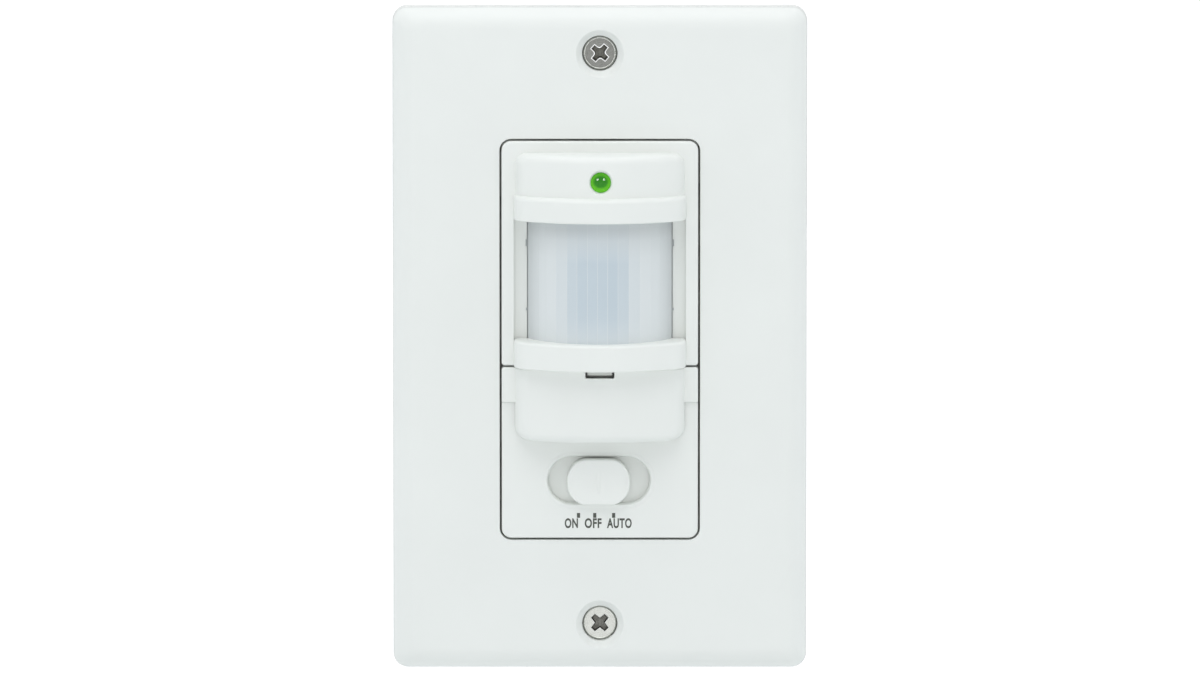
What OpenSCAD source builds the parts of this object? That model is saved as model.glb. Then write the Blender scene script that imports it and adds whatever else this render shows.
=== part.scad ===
// Motion sensor wall switch. A screw-on cover plate frames a two-piece front: a hooded lens
// above, and below it a hinged door over three dials and a three-position slide switch.
// A steel strap carries the front, and a housing with two circuit boards hangs behind it.
// X is to the right, Z is up and the front faces -Y. The origin is on the wall plane,
// midway between the two mounting holes of the strap.

/* [Cover plate] */
// Width of the cover plate
plate_w = 69.85; // [66:0.05:80]
// Height of the cover plate
plate_h = 112.3; // [111:0.1:124]
// Depth of the cover plate from the wall to its flat face
plate_depth = 6; // [5.8:0.1:7]
// Thickness of the cover plate's face and sides
plate_wall = 2; // [1.6:0.1:2.2]
// Corner radius of the plate's outline
plate_corner_r = 2.5; // [2:0.1:4]
// Width of the sloped edge round the plate
plate_bevel = 2.2; // [1.6:0.1:3]
// Width of the rounded blend from the sloped edge to the flat face
plate_blend = 1.8; // [1.2:0.1:2.4]

/* [Device front] */
// Width of the device front
front_w = 33.1; // [32.6:0.1:34]
// Height of the device front
front_h = 67.4; // [67:0.1:69]
// Corner radius of the device front
front_r = 1.6; // [1:0.1:2.2]
// Gap between the device front and the plate opening
front_gap = 0.35; // [0.2:0.05:0.6]
// How far the lower panel stands forward of the plate face
panel_proud = 0.2; // [0:0.05:0.6]
// How far the upper frame and the door ears stand forward of the lower panel
frame_step = 0.5; // [0.3:0.05:0.7]
// Wall thickness of the front mouldings
front_wall = 1.5; // [1.3:0.1:1.7]

/* [Hood and band] */
// Width of the hood and of the band below the lens
block_w = 29; // [28.6:0.1:29.6]
// How far the hood lip and the band stand forward of the panel
block_depth = 9; // [8.6:0.1:11]
// Radius of the hood and band front, seen from above
block_front_r = 22; // [20:0.5:26]
// Corner radius of the hood and band, seen from above
block_corner_r = 5; // [4:0.1:5.4]
// How far the hood's upper face is set back from its lip
hood_step = 1.4; // [1:0.1:1.8]
// Height of the top of the hood
hood_top = 31.8; // [31.4:0.1:32.2]
// Corner radius of the hood, seen from the front
hood_corner_r = 2; // [1:0.1:3]
// Height of the top of the hood lip
lip_top = 24.7; // [24:0.1:25]
// Height of the lower edge of the hood
hood_bottom = 20.5; // [20.2:0.1:21.4]
// Height of the upper edge of the band
band_top = -0.1; // [-0.6:0.1:0.4]
// Height of the lower edge of the band
band_bottom = -4.25; // [-4.6:0.05:-4.2]

/* [Lens] */
// Width of the lens
lens_w = 24.2; // [23.6:0.1:24.6]
// How far the lens stands forward of the panel
lens_rise = 7; // [6.4:0.1:7.4]
// Thickness of the lens
lens_t = 0.8; // [0.6:0.05:1]
// Number of upright facets across the lens
lens_facets = 16; // [8:1:24]
// Depth of the grooves between facets
lens_groove = 0.15; // [0.05:0.05:0.25]
// How far the lens runs on behind the hood and the band
lens_tuck = 1; // [0.8:0.1:1.2]

/* [Status light] */
// Diameter of the status light
led_d = 3.6; // [3:0.1:4]
// Height of the status light
led_up = 27.7; // [27.4:0.1:28.2]
// How far the dome of the light stands forward of the hood
led_proud = 0.9; // [0.5:0.1:1.2]

/* [Control door] */
// Height of the door
door_h = 12.3; // [11.8:0.05:12.4]
// Width of the raised part of the door
door_w = 28.8; // [28.4:0.1:29.2]
// How far the door stands forward of the panel
door_rise = 6; // [5.6:0.1:6.2]
// Radius of the door's front, seen from above
door_front_r = 30; // [28:1:40]
// Corner radius of the door, seen from above
door_corner_r = 4; // [3:0.1:4.4]
// Radius of the door's lower corners, seen from the front
door_lower_r = 3.7; // [2:0.1:4.5]
// Wall thickness of the door
door_wall = 1.2; // [1:0.1:1.3]
// Gap between the door and the band above it
door_gap = 0.35; // [0.3:0.05:0.5]
// Height of the door's side ears
ear_h = 6.1; // [5:0.1:6.4]
// Thickness of the door's side ears
ear_t = 1; // [0.8:0.1:1.1]
// Width of the finger notch at the top of the door
notch_w = 4.8; // [4:0.1:6]
// Depth of the finger notch
notch_h = 0.9; // [0.7:0.05:1]
// Radius of the hinge pins
hinge_pin_r = 0.7; // [0.5:0.05:0.8]
// Radial clearance of the hinge pins
hinge_clear = 0.05; // [0.02:0.01:0.1]
// Distance of the hinge lugs from the middle
hinge_x = 8; // [7.6:0.1:8.2]

/* [Slide switch] */
// Width of the sliding knob
knob_w = 10.55; // [10:0.05:11]
// Height of the sliding knob
knob_h = 7.8; // [7:0.1:8.2]
// Corner radius of the sliding knob
knob_r = 3.2; // [2:0.1:3.4]
// How far the knob stands forward of the panel
knob_rise = 1.7; // [1.2:0.1:2]
// Height of the middle of the knob
knob_up = -23.85; // [-24.2:0.05:-23.6]
// Travel of the knob to each side of the middle
slide_travel = 2.85; // [2.4:0.05:3.1]
// Gap above and below the knob
knob_gap = 0.16; // [0.1:0.01:0.2]
// Running gap of the slider behind the panel
slide_gap = 0.1; // [0.05:0.01:0.15]

/* [Dials] */
// Diameter of the adjusting dials
dial_d = 5.5; // [4.5:0.1:5.8]
// Distance between neighbouring dials
dial_pitch = 8.5; // [7.5:0.1:8.8]
// Height of the dials' centres
dial_up = -10.5; // [-10.8:0.1:-10]
// How far the dials stand forward of the panel
dial_rise = 1.2; // [0.8:0.1:1.6]
// Gap round each dial
dial_gap = 0.2; // [0.1:0.05:0.3]

/* [Strap and plate screws] */
// Width of the mounting strap at the housing
strap_w = 44; // [43.4:0.1:46]
// Height of the mounting strap
strap_h = 106.4; // [105.6:0.1:107]
// Thickness of the mounting strap
strap_t = 1.2; // [1:0.1:1.4]
// Distance between the two mounting holes
mount_spacing = 83.34; // [82:0.01:84.6]
// Diameter of the mounting holes
mount_hole_d = 4.4; // [3.8:0.1:5]
// Distance between the two plate screws
plate_screw_spacing = 96.84; // [96:0.01:97.4]
// Thread diameter of the plate, ground and terminal screws
screw_d = 3.4; // [3:0.1:3.5]
// Head diameter of the plate screws
head_d = 5.85; // [5.6:0.05:6.4]
// How far the plate screw heads lie below the plate's face
head_sink = 1.7; // [1.4:0.1:1.9]

/* [Housing and boards] */
// Width of the housing
housing_w = 43; // [42.6:0.1:43.2]
// Height of the housing
housing_h = 68; // [67.6:0.1:70]
// Depth of the housing behind the wall plane
housing_depth = 29; // [28.5:0.5:34]
// Wall thickness of the housing
housing_wall = 2; // [1.6:0.1:2.2]
// Thickness of the circuit boards
board_t = 1.6; // [1.2:0.1:1.8]
// Distance of the sensor board's front behind the wall plane
sensor_board_back = 4.4; // [4.2:0.1:5]
// Distance of the power board's front behind the sensor board's back
board_space = 14.4; // [14:0.1:15]

/* [Hidden] */
$fn = 64;

WHITE = [0.92, 0.94, 0.93];
STEEL = [0.72, 0.73, 0.75];
BRASS = [0.83, 0.66, 0.32];
BLACK = [0.10, 0.10, 0.11];
BOARD_GREEN = [0.10, 0.36, 0.20];

// A small overlap that keeps cuts clean
eps = 0.01;
// Steps in the corner arcs and front arcs of the bulging pieces
corner_steps = 10;
front_steps = 24;
// Half of a hair-line fit between pieces that are fixed together
fit = 0.1;

// Depths of the front faces, measured out from the wall plane
panel_z = plate_depth + panel_proud;
frame_z = panel_z + frame_step;
block_z = panel_z + block_depth;
hood_z = block_z - hood_step;
hood_draft = 0.2;
hood_half_w = block_w / 2 - hood_draft;
front_back_z = strap_t;
frame_inner_z = frame_z - front_wall;
panel_inner_z = panel_z - front_wall;
front_in_w = front_w - 2 * front_wall;
front_in_h = front_h - 2 * front_wall;

// The lens is part of an upright cylinder
lens_z = panel_z + lens_rise;
lens_r = (pow(lens_w / 2, 2) + pow(lens_rise, 2)) / (2 * lens_rise);
lens_axis_z = lens_z - lens_r;
lens_arc = asin(lens_w / 2 / lens_r);
lens_bottom = band_top - lens_tuck;
lens_top = hood_bottom + lens_tuck;
lens_mid = (lens_bottom + lens_top) / 2;
lens_flange_room = 0.3;
lens_flange = front_in_w / 2 - lens_w / 2 - lens_flange_room;
retainer_t = 1;
retainer_lap = 1;
retainer_z = frame_inner_z - lens_t - retainer_t;

// Door and hinge
door_top = band_bottom - door_gap;
door_bottom = door_top - door_h;
door_z = panel_z + door_rise;
door_clear = 0.3;
door_back_r = 1.5;
hinge_up = door_bottom + door_back_r;
hinge_z = panel_z + door_clear + door_back_r;
ear_z = frame_z - ear_t;
ear_in = door_w / 2 - door_wall;
lug_t = 1.5;
lug_r = door_back_r - hinge_clear;
lug_room = 0.35;
lug_foot = 0.6;
pin_end = 0.2;
rib_t = 1.2;
rib_gap = 0.25;
seam_room = 0.25;
panel_top = door_top - seam_room;
tongue_w = notch_w - 2 * door_clear;
tongue_h = door_gap + notch_h - door_clear;
tongue_t = 0.9;
tongue_z = door_z - door_wall;

// Slide switch
slot_h = knob_h + 2 * knob_gap;
slot_corner_clear = 0.6 * knob_gap;
slot_reach = sqrt(pow(slot_h / 2 - slot_corner_clear - knob_r, 2) - pow(knob_h / 2 - knob_r, 2));
slot_end = slot_h / 2 - knob_r - slot_reach;
slot_w = knob_w + 2 * (slide_travel + slot_end);
skirt_t = 0.9;
skirt_r = 1;
skirt_end = 0.2;
skirt_w = front_in_w - 2 * (slide_travel + skirt_end);
skirt_lap = 0.6;
skirt_h = slot_h + 2 * skirt_lap;
skirt_z = panel_inner_z - slide_gap - skirt_t;
rail_t = 1;
post_w = 2.4;
post_end = 0.5;
post_z = skirt_z - post_end;
fork_t = 1.2;
fork_z = 1.6;
foot_w = 3;
foot_t = 1.1;
foot_end = 0.15;
switch_wall_x = 1;
switch_wall_y = 2;

// Dials and trimmers
dial_z = panel_z + dial_rise;
dial_lap = 0.2;
dial_head_t = dial_rise + front_wall + dial_lap;
dial_shaft_r = 1.2;
dial_shaft_clear = 0.05;
dial_seat = 1.6;
dial_slot = [0.8, 0.7 * dial_d, 0.8];
dial_mark = [1.6, 0.2 * dial_d, 0.4];
trimmer_w = 7;
trimmer_t = 3.2;

// Boards, measured out from the wall plane
sensor_z = -sensor_board_back;
sensor_back_z = sensor_z - board_t;
power_z = sensor_back_z - board_space;
power_back_z = power_z - board_t;
housing_floor_z = housing_wall - housing_depth;
housing_in_w = housing_w - 2 * housing_wall;
housing_in_h = housing_h - 2 * housing_wall;
housing_r = 3;
housing_in_r = 1.5;

// Long fixings: the housing screws hold housing, strap and front together
fix_side = 1.85;
fix_x = front_in_w / 2 - fix_side;
fix_inset = 1.4;
fix_up = min(front_in_h, housing_in_h) / 2 - fix_inset;
fix_r = 1.05;
fix_clear = 0.05;
hole_room = 0.2;
fix_head_r = 1.9;
fix_head_t = 1.6;
fix_head_z = -8;
fix_post_r = 3;
front_boss_r = 1.9;
front_boss_cap = 0.4;
board_gap = 0.5;
board_w = housing_in_w - 2 * board_gap;
board_h = 2 * (fix_up - fix_post_r - board_gap);
board_tab_w = 16;
board_tab_lap = [2.3, 4];
board_tab_top = led_up + board_tab_lap[0];
board_tab_bottom = knob_up - board_tab_lap[1];
post_inset = [2.5, 3];
post_x = board_w / 2 - post_inset.x;
post_up = board_h / 2 - post_inset.y;
post_low_r = 2.6;
post_r = 1.5;
board_screw_r = 0.8;
board_screw_l = 6.6;
board_head_r = 1.7;
board_head_t = 1.1;

// Strap outline, the window for the parts on the sensor board, and the ground screw
strap_end_w = 34;
strap_end_r = 5;
shoulder_lap = 3;
shoulder_r = 2;
strap_window = [22, 58];
ground_x = -12.5;
ground_head_r = 3.2;
ground_room = 0.3;
ground_up = -(max(front_h / 2 + front_gap, housing_h / 2) + ground_head_r + ground_room);
ground_head_t = 1.8;
ground_l = 5;

// Edge of the cover plate: its upright rim, and the blend from the slope to the face
plate_rim = 3;
plate_blend_drop = 0.85;
plate_bevel_r = 1.2;
plate_face_r = 0.8;
plate_steps = 4;

// Shares of a cross-slotted screw head: its rounded rim, and the width, reach and depth of its slots
crown_share = 0.25;
crown_r_share = 0.82;
slot_w_share = 0.28;
slot_reach_share = 1.1;
slot_depth_share = 0.65;

// Plate screws and the dished wells that their heads lie in
head_t = 1.5;
plate_screw_l = 12.7;
dish_lap = 1.25;
dish_depth = 1.1;
plate_hole_room = 0.4;
plate_boss_wall = 1.6;

// Side terminals sit in niches between the two boards
terminal_up = 9;
niche = 8.4;
niche_wall = 1.5;
niche_side = 1;
niche_depth = 4.7;
niche_floor_x = housing_w / 2 - niche_depth;
niche_z = (sensor_back_z + power_z) / 2;
terminal_t = 1;
terminal_room = 0.2;
terminal_head_r = 3.4;
terminal_head_t = 2.2;
terminal_l = 5.8;

// Sensor parts on the board
pir_up = (hood_bottom + band_top) / 2;
light_sensor_r = 1.5;
light_sensor_l = 3;
light_sensor_drop = 7;
light_sensor_at = [lens_w / 4, pir_up - light_sensor_drop];
chip_size = [6, 5, 1.6];
chip_lift = 8;
chip_at = [-board_w / 4, pir_up + chip_lift];
header_size = [10, 2.5];
header_inset = 4;
header_at = [board_w / 5, header_inset - board_h / 2];
relay_size = [15.2, 19, 12];
part_edge = 4.4;
part_gap = 2.4;
relay_at = [part_edge + relay_size.x / 2 - board_w / 2, 10];
film_size = [6, 13, 11];
film_at = [relay_at.x + relay_size.x / 2 + part_gap + film_size.x / 2, 0];
filter_r = 4;
filter_l = 11.5;
filter_at = [film_at.x, film_at.y + film_size.y / 2 + part_gap + 2 * filter_r];
varistor_r = 4.5;
varistor_t = 4;
varistor_drop = relay_size.y / 2 + part_gap + 2 * varistor_t;
varistor_at = [part_edge + varistor_r - board_w / 2, relay_at.y - varistor_drop];
pir_r = 4.1;
pir_flange_r = 4.55;
pir_flange_t = 0.6;
pir_h = 4.6;
pir_wall = 0.4;
pir_spacer_t = 0.8;
pir_z = sensor_z + pir_spacer_t;
pir_lead_r = 0.25;
pir_lead_pcd = 5.08;
window_w = 4;
window_h = 3;
window_t = 0.5;
window_lap = 0.5;
led_leg_r = 0.25;
led_leg_pitch = 2.54;
lead_end = 1.4;
lead_clear = 0.15;
led_flange_t = 1;
led_flange_lap = 0.5;
led_ring = 0.3;
led_seat = 0.2;
led_back_z = hood_z - front_wall - led_seat - led_flange_t;

// Turns the front view, with depth along Z, into the upright part
module upright() {
    rotate([90, 0, 0]) children();
}

// A front outline pushed out from depth z0 to depth z1
module face(z0, z1) {
    translate([0, 0, z0]) linear_extrude(z1 - z0) children();
}

// An outline seen from above, X against depth, swept up from height y0 to y1
module plan(y0, y1) {
    translate([0, y1, 0]) rotate([90, 0, 0]) linear_extrude(y1 - y0) children();
}

// An outline seen from the side, height against depth, swept from x0 to x1
module side(x0, x1) {
    translate([x0, 0, 0]) rotate([90, 0, 90]) linear_extrude(x1 - x0) children();
}

module at_both_sides() {
    children();
    mirror([1, 0, 0]) children();
}

module at_four_corners(x, y) {
    for (sx = [-1, 1], sy = [-1, 1]) translate([sx * x, sy * y, 0]) children();
}

module rod(r, z0, z1) {
    translate([0, 0, z0]) cylinder(r = r, h = z1 - z0);
}

// The front half of a ball
module dome(r) {
    intersection() {
        sphere(r);
        block(3 * r, 3 * r, 0, 2 * r);
    }
}

// A block given by its middle in the front view and its two depths
module block(w, h, z0, z1) {
    translate([-w / 2, -h / 2, z0]) cube([w, h, z1 - z0]);
}

module round_rect(w, h, r) {
    square([w - 2 * r, h], center = true);
    square([w, h - 2 * r], center = true);
    for (sx = [-1, 1], sy = [-1, 1]) translate([sx * (w / 2 - r), sy * (h / 2 - r)]) circle(r);
}

module stadium(w, h) {
    square([w - h, h], center = true);
    for (sx = [-1, 1]) translate([sx * (w - h) / 2, 0]) circle(h / 2);
}

// Points along an arc, in steps from one angle to another
function arc(center, r, from, to, steps) = [
    for (i = [0 : steps])
        let (a = from + (to - from) * i / steps)
        center + r * [cos(a), sin(a)]
];

// A bulging outline seen from above: a wide front arc that runs into two corner arcs
module bulge(half_w, front, front_r, corner_r, back) {
    arc_z = front - front_r;
    corner_x = half_w - corner_r;
    corner_z = arc_z + sqrt(pow(front_r - corner_r, 2) - pow(corner_x, 2));
    join = atan2(corner_z - arc_z, corner_x);
    right = arc([corner_x, corner_z], corner_r, 0, join, corner_steps);
    middle = arc([0, arc_z], front_r, join, 180 - join, front_steps);
    left = arc([-corner_x, corner_z], corner_r, 180 - join, 180, corner_steps);
    foot_z = min(back, corner_z) - corner_r;
    intersection() {
        polygon(concat(
            [[-half_w, foot_z], [half_w, foot_z]],
            right,
            [for (i = [1 : front_steps - 1]) middle[i]],
            left
        ));
        translate([-2 * half_w, back]) square([4 * half_w, 2 * front_r]);
    }
}

// The space that the lens fills, grown by a clearance
module lens_space(grow) {
    intersection() {
        translate([0, lens_axis_z]) circle(lens_r + grow, $fn = 128);
        translate([-lens_w / 2 - grow, 0]) square([lens_w + 2 * grow, lens_z + 1]);
    }
}

// One layer of the cover plate, drawn in from the outline by inset
module plate_layer(inset, z, r) {
    face(z, z + eps) round_rect(plate_w - 2 * inset, plate_h - 2 * inset, r, $fn = 32);
}

// The plate's outer form, or its hollow when drawn in by a wall
module plate_form(wall) {
    corner = max(plate_corner_r - wall / 2, plate_face_r);
    hull() {
        plate_layer(wall, wall > 0 ? -eps : 0, corner);
        plate_layer(wall, plate_rim, corner);
        for (i = [0 : plate_steps]) {
            t = i / plate_steps;
            drop = plate_blend_drop * pow(1 - t, 2);
            plate_layer(
                plate_bevel + plate_blend * t + wall,
                plate_depth - drop - wall - eps,
                plate_bevel_r + (plate_face_r - plate_bevel_r) * t
            );
        }
    }
}

module wall_plate() {
    seat_z = plate_depth - head_sink - head_t;
    dish_r = head_d / 2 + dish_lap;
    well_r = head_d / 2 + hole_room;
    well_z = plate_depth - dish_depth;
    hole_r = screw_d / 2 + plate_hole_room;
    boss_r = well_r + plate_boss_wall;
    color(WHITE) upright() difference() {
        union() {
            difference() {
                plate_form(0);
                plate_form(plate_wall);
            }
            for (sy = [-1, 1]) translate([0, sy * plate_screw_spacing / 2, 0])
                rod(boss_r, strap_t + fit, plate_depth - plate_wall / 2);
        }
        face(0, plate_depth + 1)
            round_rect(front_w + 2 * front_gap, front_h + 2 * front_gap, front_r + front_gap);
        for (sy = [-1, 1]) translate([0, sy * plate_screw_spacing / 2, 0]) {
            rod(hole_r, 0, plate_depth);
            rod(well_r, seat_z, plate_depth);
            translate([0, 0, well_z]) cylinder(r1 = well_r, r2 = dish_r, h = plate_depth - well_z + eps);
        }
    }
}

// A cross-slotted head on a plain shank, given by the depth of its top
module cross_screw(top_z, head_r, head_t, shank_r, shank_l) {
    crown_t = head_t * crown_share;
    difference() {
        union() {
            rod(head_r, top_z - head_t, top_z - crown_t);
            translate([0, 0, top_z - crown_t])
                cylinder(r1 = head_r, r2 = head_r * crown_r_share, h = crown_t);
            rod(shank_r, top_z - head_t - shank_l, top_z - head_t + eps);
        }
        for (a = [45, 135]) rotate(a)
            block(head_r * slot_reach_share, head_r * slot_w_share,
                top_z - head_t * slot_depth_share, top_z + 1);
    }
}

module plate_screw(sy) {
    color(STEEL) upright() translate([0, sy * plate_screw_spacing / 2, 0])
        cross_screw(plate_depth - head_sink, head_d / 2, head_t, screw_d / 2, plate_screw_l);
}

module plate_screw_top() {
    plate_screw(1);
}

module plate_screw_bottom() {
    plate_screw(-1);
}

module mounting_strap() {
    color(STEEL) upright() difference() {
        face(0, strap_t) difference() {
            union() {
                round_rect(strap_w, housing_h + 2 * shoulder_lap, shoulder_r);
                round_rect(strap_end_w, strap_h, strap_end_r);
            }
            round_rect(strap_window.x, strap_window.y, shoulder_r);
        }
        for (sy = [-1, 1]) {
            translate([0, sy * mount_spacing / 2, 0]) rod(mount_hole_d / 2, -1, strap_t + 1);
            translate([0, sy * plate_screw_spacing / 2, 0])
                rod(screw_d / 2 + fix_clear, -1, strap_t + 1);
        }
        at_four_corners(fix_x, fix_up) rod(fix_r + hole_room, -1, strap_t + 1);
        translate([ground_x, ground_up, 0]) rod(screw_d / 2 + fix_clear, -1, strap_t + 1);
    }
}

module ground_screw() {
    color([0.20, 0.45, 0.22]) upright() translate([ground_x, ground_up, 0])
        cross_screw(strap_t + ground_head_t, ground_head_r, ground_head_t, screw_d / 2, ground_l);
}

// A hollow post that takes a housing screw
module front_boss(z1) {
    difference() {
        rod(front_boss_r, front_back_z, z1);
        rod(fix_r + fix_clear, front_back_z - 1, z1 - front_boss_cap);
    }
}

module sensor_bezel() {
    strip_z = panel_z;
    color(WHITE) upright() {
        difference() {
            union() {
                intersection() {
                    face(front_back_z, frame_z) round_rect(front_w, front_h, front_r);
                    face(front_back_z, frame_z) translate([-front_w / 2, band_bottom])
                        square([front_w, front_h]);
                }
                intersection() {
                    union() {
                        plan(hood_bottom, lip_top)
                            bulge(block_w / 2, block_z, block_front_r, block_corner_r, frame_inner_z);
                        plan(lip_top - eps, hood_top)
                            bulge(hood_half_w, hood_z, block_front_r, block_corner_r, frame_inner_z);
                    }
                    face(0, block_z + 1) translate([0, hood_bottom])
                        round_rect(block_w, 2 * (hood_top - hood_bottom), hood_corner_r);
                }
                plan(band_bottom, band_top)
                    bulge(block_w / 2, block_z, block_front_r, block_corner_r, frame_inner_z);
                translate([0, band_bottom - tongue_h / 2, 0])
                    block(tongue_w, tongue_h + 2 * eps, tongue_z - tongue_t, tongue_z);
            }
            face(front_back_z - 1, frame_inner_z)
                translate([-front_in_w / 2, band_bottom + front_wall])
                square([front_in_w, front_in_h / 2 - band_bottom - front_wall]);
            plan(hood_bottom + front_wall, hood_top - front_wall)
                bulge(hood_half_w - front_wall, hood_z - front_wall,
                    block_front_r - front_wall, block_corner_r - front_wall, frame_inner_z - 1);
            plan(lens_bottom - fit, lens_top + fit) lens_space(fit);
            face(strip_z, block_z + 1) translate([-block_w / 2, band_top])
                square([block_w, hood_bottom - band_top]);
            translate([0, led_up, 0]) rod(led_d / 2 + led_ring, front_back_z, block_z + 1);
        }
        for (sx = [-1, 1]) translate([sx * fix_x, fix_up, 0]) front_boss(frame_inner_z + eps);
    }
}

// One hinge lug of the panel, seen from the side
module lug_outline(r) {
    translate([hinge_up, hinge_z]) circle(r);
    translate([hinge_up - lug_foot, panel_inner_z]) square([lug_foot + r, hinge_z - panel_inner_z]);
}

module switch_panel() {
    ear_room = 0.3;
    color(WHITE) upright() {
        difference() {
            union() {
                intersection() {
                    face(front_back_z, panel_z) round_rect(front_w, front_h, front_r);
                    face(front_back_z, panel_z) translate([-front_w / 2, -front_h])
                        square([front_w, front_h + panel_top]);
                }
                at_both_sides() side(hinge_x - lug_t / 2, hinge_x + lug_t / 2) lug_outline(lug_r);
            }
            face(front_back_z - 1, panel_inner_z) translate([-front_in_w / 2, -front_in_h / 2])
                square([front_in_w, front_in_h / 2 + panel_top - front_wall]);
            at_both_sides() face(ear_z - ear_room, panel_z + 1)
                translate([ear_in - ear_room, door_top - ear_h - ear_room])
                square([front_w, ear_h + door_gap + 2 * ear_room]);
            translate([0, knob_up, 0]) face(0, panel_z + 1) stadium(slot_w, slot_h);
            for (i = [-1 : 1]) translate([i * dial_pitch, dial_up, 0])
                rod(dial_d / 2 + dial_gap, 0, dial_z + 1);
            side(-front_w, front_w) translate([hinge_up, hinge_z]) circle(hinge_pin_r + hinge_clear);
        }
        for (sy = [-1, 1]) translate([0, knob_up + sy * (skirt_h / 2 + slide_gap + rail_t / 2), 0])
            block(front_in_w + 2 * eps, rail_t, skirt_z, panel_inner_z + eps);
        for (sx = [-1, 1]) translate([sx * fix_x, -fix_up, 0]) front_boss(panel_inner_z + eps);
    }
}

// The door's outer form, or its hollow when drawn in by a wall
module door_form(wall, back) {
    r = door_lower_r - wall;
    half_w = door_w / 2 - wall;
    low = door_bottom + wall;
    intersection() {
        plan(low, door_top - wall)
            bulge(half_w, door_z - wall, door_front_r - wall, door_corner_r - wall, back);
        face(back - 1, door_z + 1) union() {
            translate([-half_w, low + r]) square([2 * half_w, door_h]);
            translate([-half_w + r, low]) square([2 * (half_w - r), r + eps]);
            for (sx = [-1, 1]) translate([sx * (half_w - r), low + r]) circle(r);
        }
    }
}

module control_door() {
    back_z = panel_z + door_clear;
    rib_x = hinge_x + lug_t / 2 + rib_gap;
    lug_slot = lug_t + 2 * rib_gap;
    color(WHITE) upright() {
        difference() {
            union() {
                difference() {
                    door_form(0, back_z);
                    door_form(door_wall, back_z - 1);
                }
                at_both_sides() face(ear_z, frame_z) translate([ear_in, door_top - ear_h])
                    square([front_w / 2 - ear_in, ear_h]);
            }
            difference() {
                side(-door_w, door_w) translate([door_bottom - 1, 0]) square([door_back_r + 1, hinge_z]);
                side(-door_w, door_w) translate([hinge_up, hinge_z]) circle(door_back_r);
            }
            at_both_sides() side(hinge_x - lug_slot / 2, hinge_x + lug_slot / 2)
                translate([hinge_up, hinge_z]) circle(lug_r + lug_room);
            translate([0, door_top - notch_h / 2 + 1, 0]) block(notch_w, notch_h + 2, 0, door_z + 1);
        }
        at_both_sides() {
            intersection() {
                side(rib_x, rib_x + rib_t) union() {
                    translate([hinge_up, hinge_z]) circle(lug_r);
                    translate([hinge_up - lug_r, hinge_z]) square([2 * lug_r, door_rise]);
                }
                door_form(door_wall / 2, back_z - 1);
            }
            side(hinge_x - lug_t / 2 - pin_end, rib_x + eps)
                translate([hinge_up, hinge_z]) circle(hinge_pin_r);
        }
    }
}

module mode_slider() {
    color(WHITE) upright() translate([0, knob_up, 0]) {
        face(skirt_z, skirt_z + skirt_t) round_rect(skirt_w, skirt_h, skirt_r);
        face(skirt_z + skirt_t - eps, panel_z + knob_rise) round_rect(knob_w, knob_h, knob_r);
        for (sx = [-1, 1]) translate([sx * (post_w / 2 + fix_clear + fork_t / 2), 0, 0])
            block(fork_t, post_w, fork_z, skirt_z + eps);
    }
}

module mode_switch_carriage() {
    color(BLACK) upright() translate([0, knob_up, 0]) {
        block(foot_w, post_w, -foot_t + slide_gap, slide_gap);
        block(post_w, post_w, slide_gap - eps, post_z);
    }
}

module mode_switch_body() {
    slot = foot_w + 2 * (slide_travel + foot_end);
    color(STEEL) upright() translate([0, knob_up, 0]) difference() {
        block(slot + 2 * switch_wall_x, post_w + 2 * switch_wall_y, sensor_z, 0);
        block(slot, post_w + 2 * slide_gap, -foot_t, 1);
    }
}

module fresnel_lens() {
    flange_z = frame_inner_z - lens_t;
    color([0.84, 0.88, 0.90]) upright() difference() {
        union() {
            plan(lens_bottom, lens_top) difference() {
                union() {
                    intersection() {
                        translate([0, lens_axis_z]) circle(lens_r, $fn = 128);
                        translate([-lens_w / 2, panel_z - eps]) square([lens_w, lens_rise + 1]);
                    }
                    translate([-lens_w / 2, flange_z]) square([lens_w, panel_z - flange_z]);
                }
                intersection() {
                    translate([0, lens_axis_z]) circle(lens_r - lens_t, $fn = 128);
                    translate([-lens_w / 2 + lens_t, 0]) square([lens_w - 2 * lens_t, lens_z]);
                }
            }
            at_both_sides() plan(lens_bottom, lens_top) translate([lens_w / 2 - lens_t, flange_z])
                square([lens_flange + lens_t, lens_t]);
        }
        for (i = [1 : lens_facets - 1]) {
            turn = lens_arc * (2 * i / lens_facets - 1);
            translate([0, 0, lens_axis_z]) rotate([0, turn, 0]) translate([0, 0, lens_r])
                plan(lens_bottom - 1, lens_top + 1)
                polygon([[0, -lens_groove], [lens_groove, lens_groove], [-lens_groove, lens_groove]]);
        }
    }
}

module lens_retainer() {
    color(BLACK) upright() translate([0, lens_mid, 0]) difference() {
        block(front_in_w - 2 * fit, lens_top - lens_bottom + 2 * retainer_lap,
            retainer_z, retainer_z + retainer_t);
        block(lens_w - 2 * lens_t, lens_top - lens_bottom - 2 * retainer_lap, 0, frame_z);
    }
}

module status_led() {
    dome_r = led_d / 2;
    dome_z = hood_z + led_proud - dome_r;
    color([0.25, 0.60, 0.10]) upright() translate([0, led_up, 0]) {
        rod(dome_r + led_flange_lap, led_back_z, led_back_z + led_flange_t);
        rod(dome_r, led_back_z, dome_z);
        translate([0, 0, dome_z]) dome(dome_r);
    }
}

module led_legs() {
    color(STEEL) upright() for (sx = [-1, 1]) translate([sx * led_leg_pitch / 2, led_up, 0])
        rod(led_leg_r, sensor_back_z - lead_end, led_back_z);
}

module pir_can() {
    color(STEEL) upright() translate([0, pir_up, pir_z]) difference() {
        union() {
            rod(pir_flange_r, 0, pir_flange_t);
            rod(pir_r, 0, pir_h);
        }
        rod(pir_r - pir_wall, pir_flange_t, pir_h - pir_wall);
        block(window_w, window_h, pir_flange_t + 1, pir_h + 1);
    }
}

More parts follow.
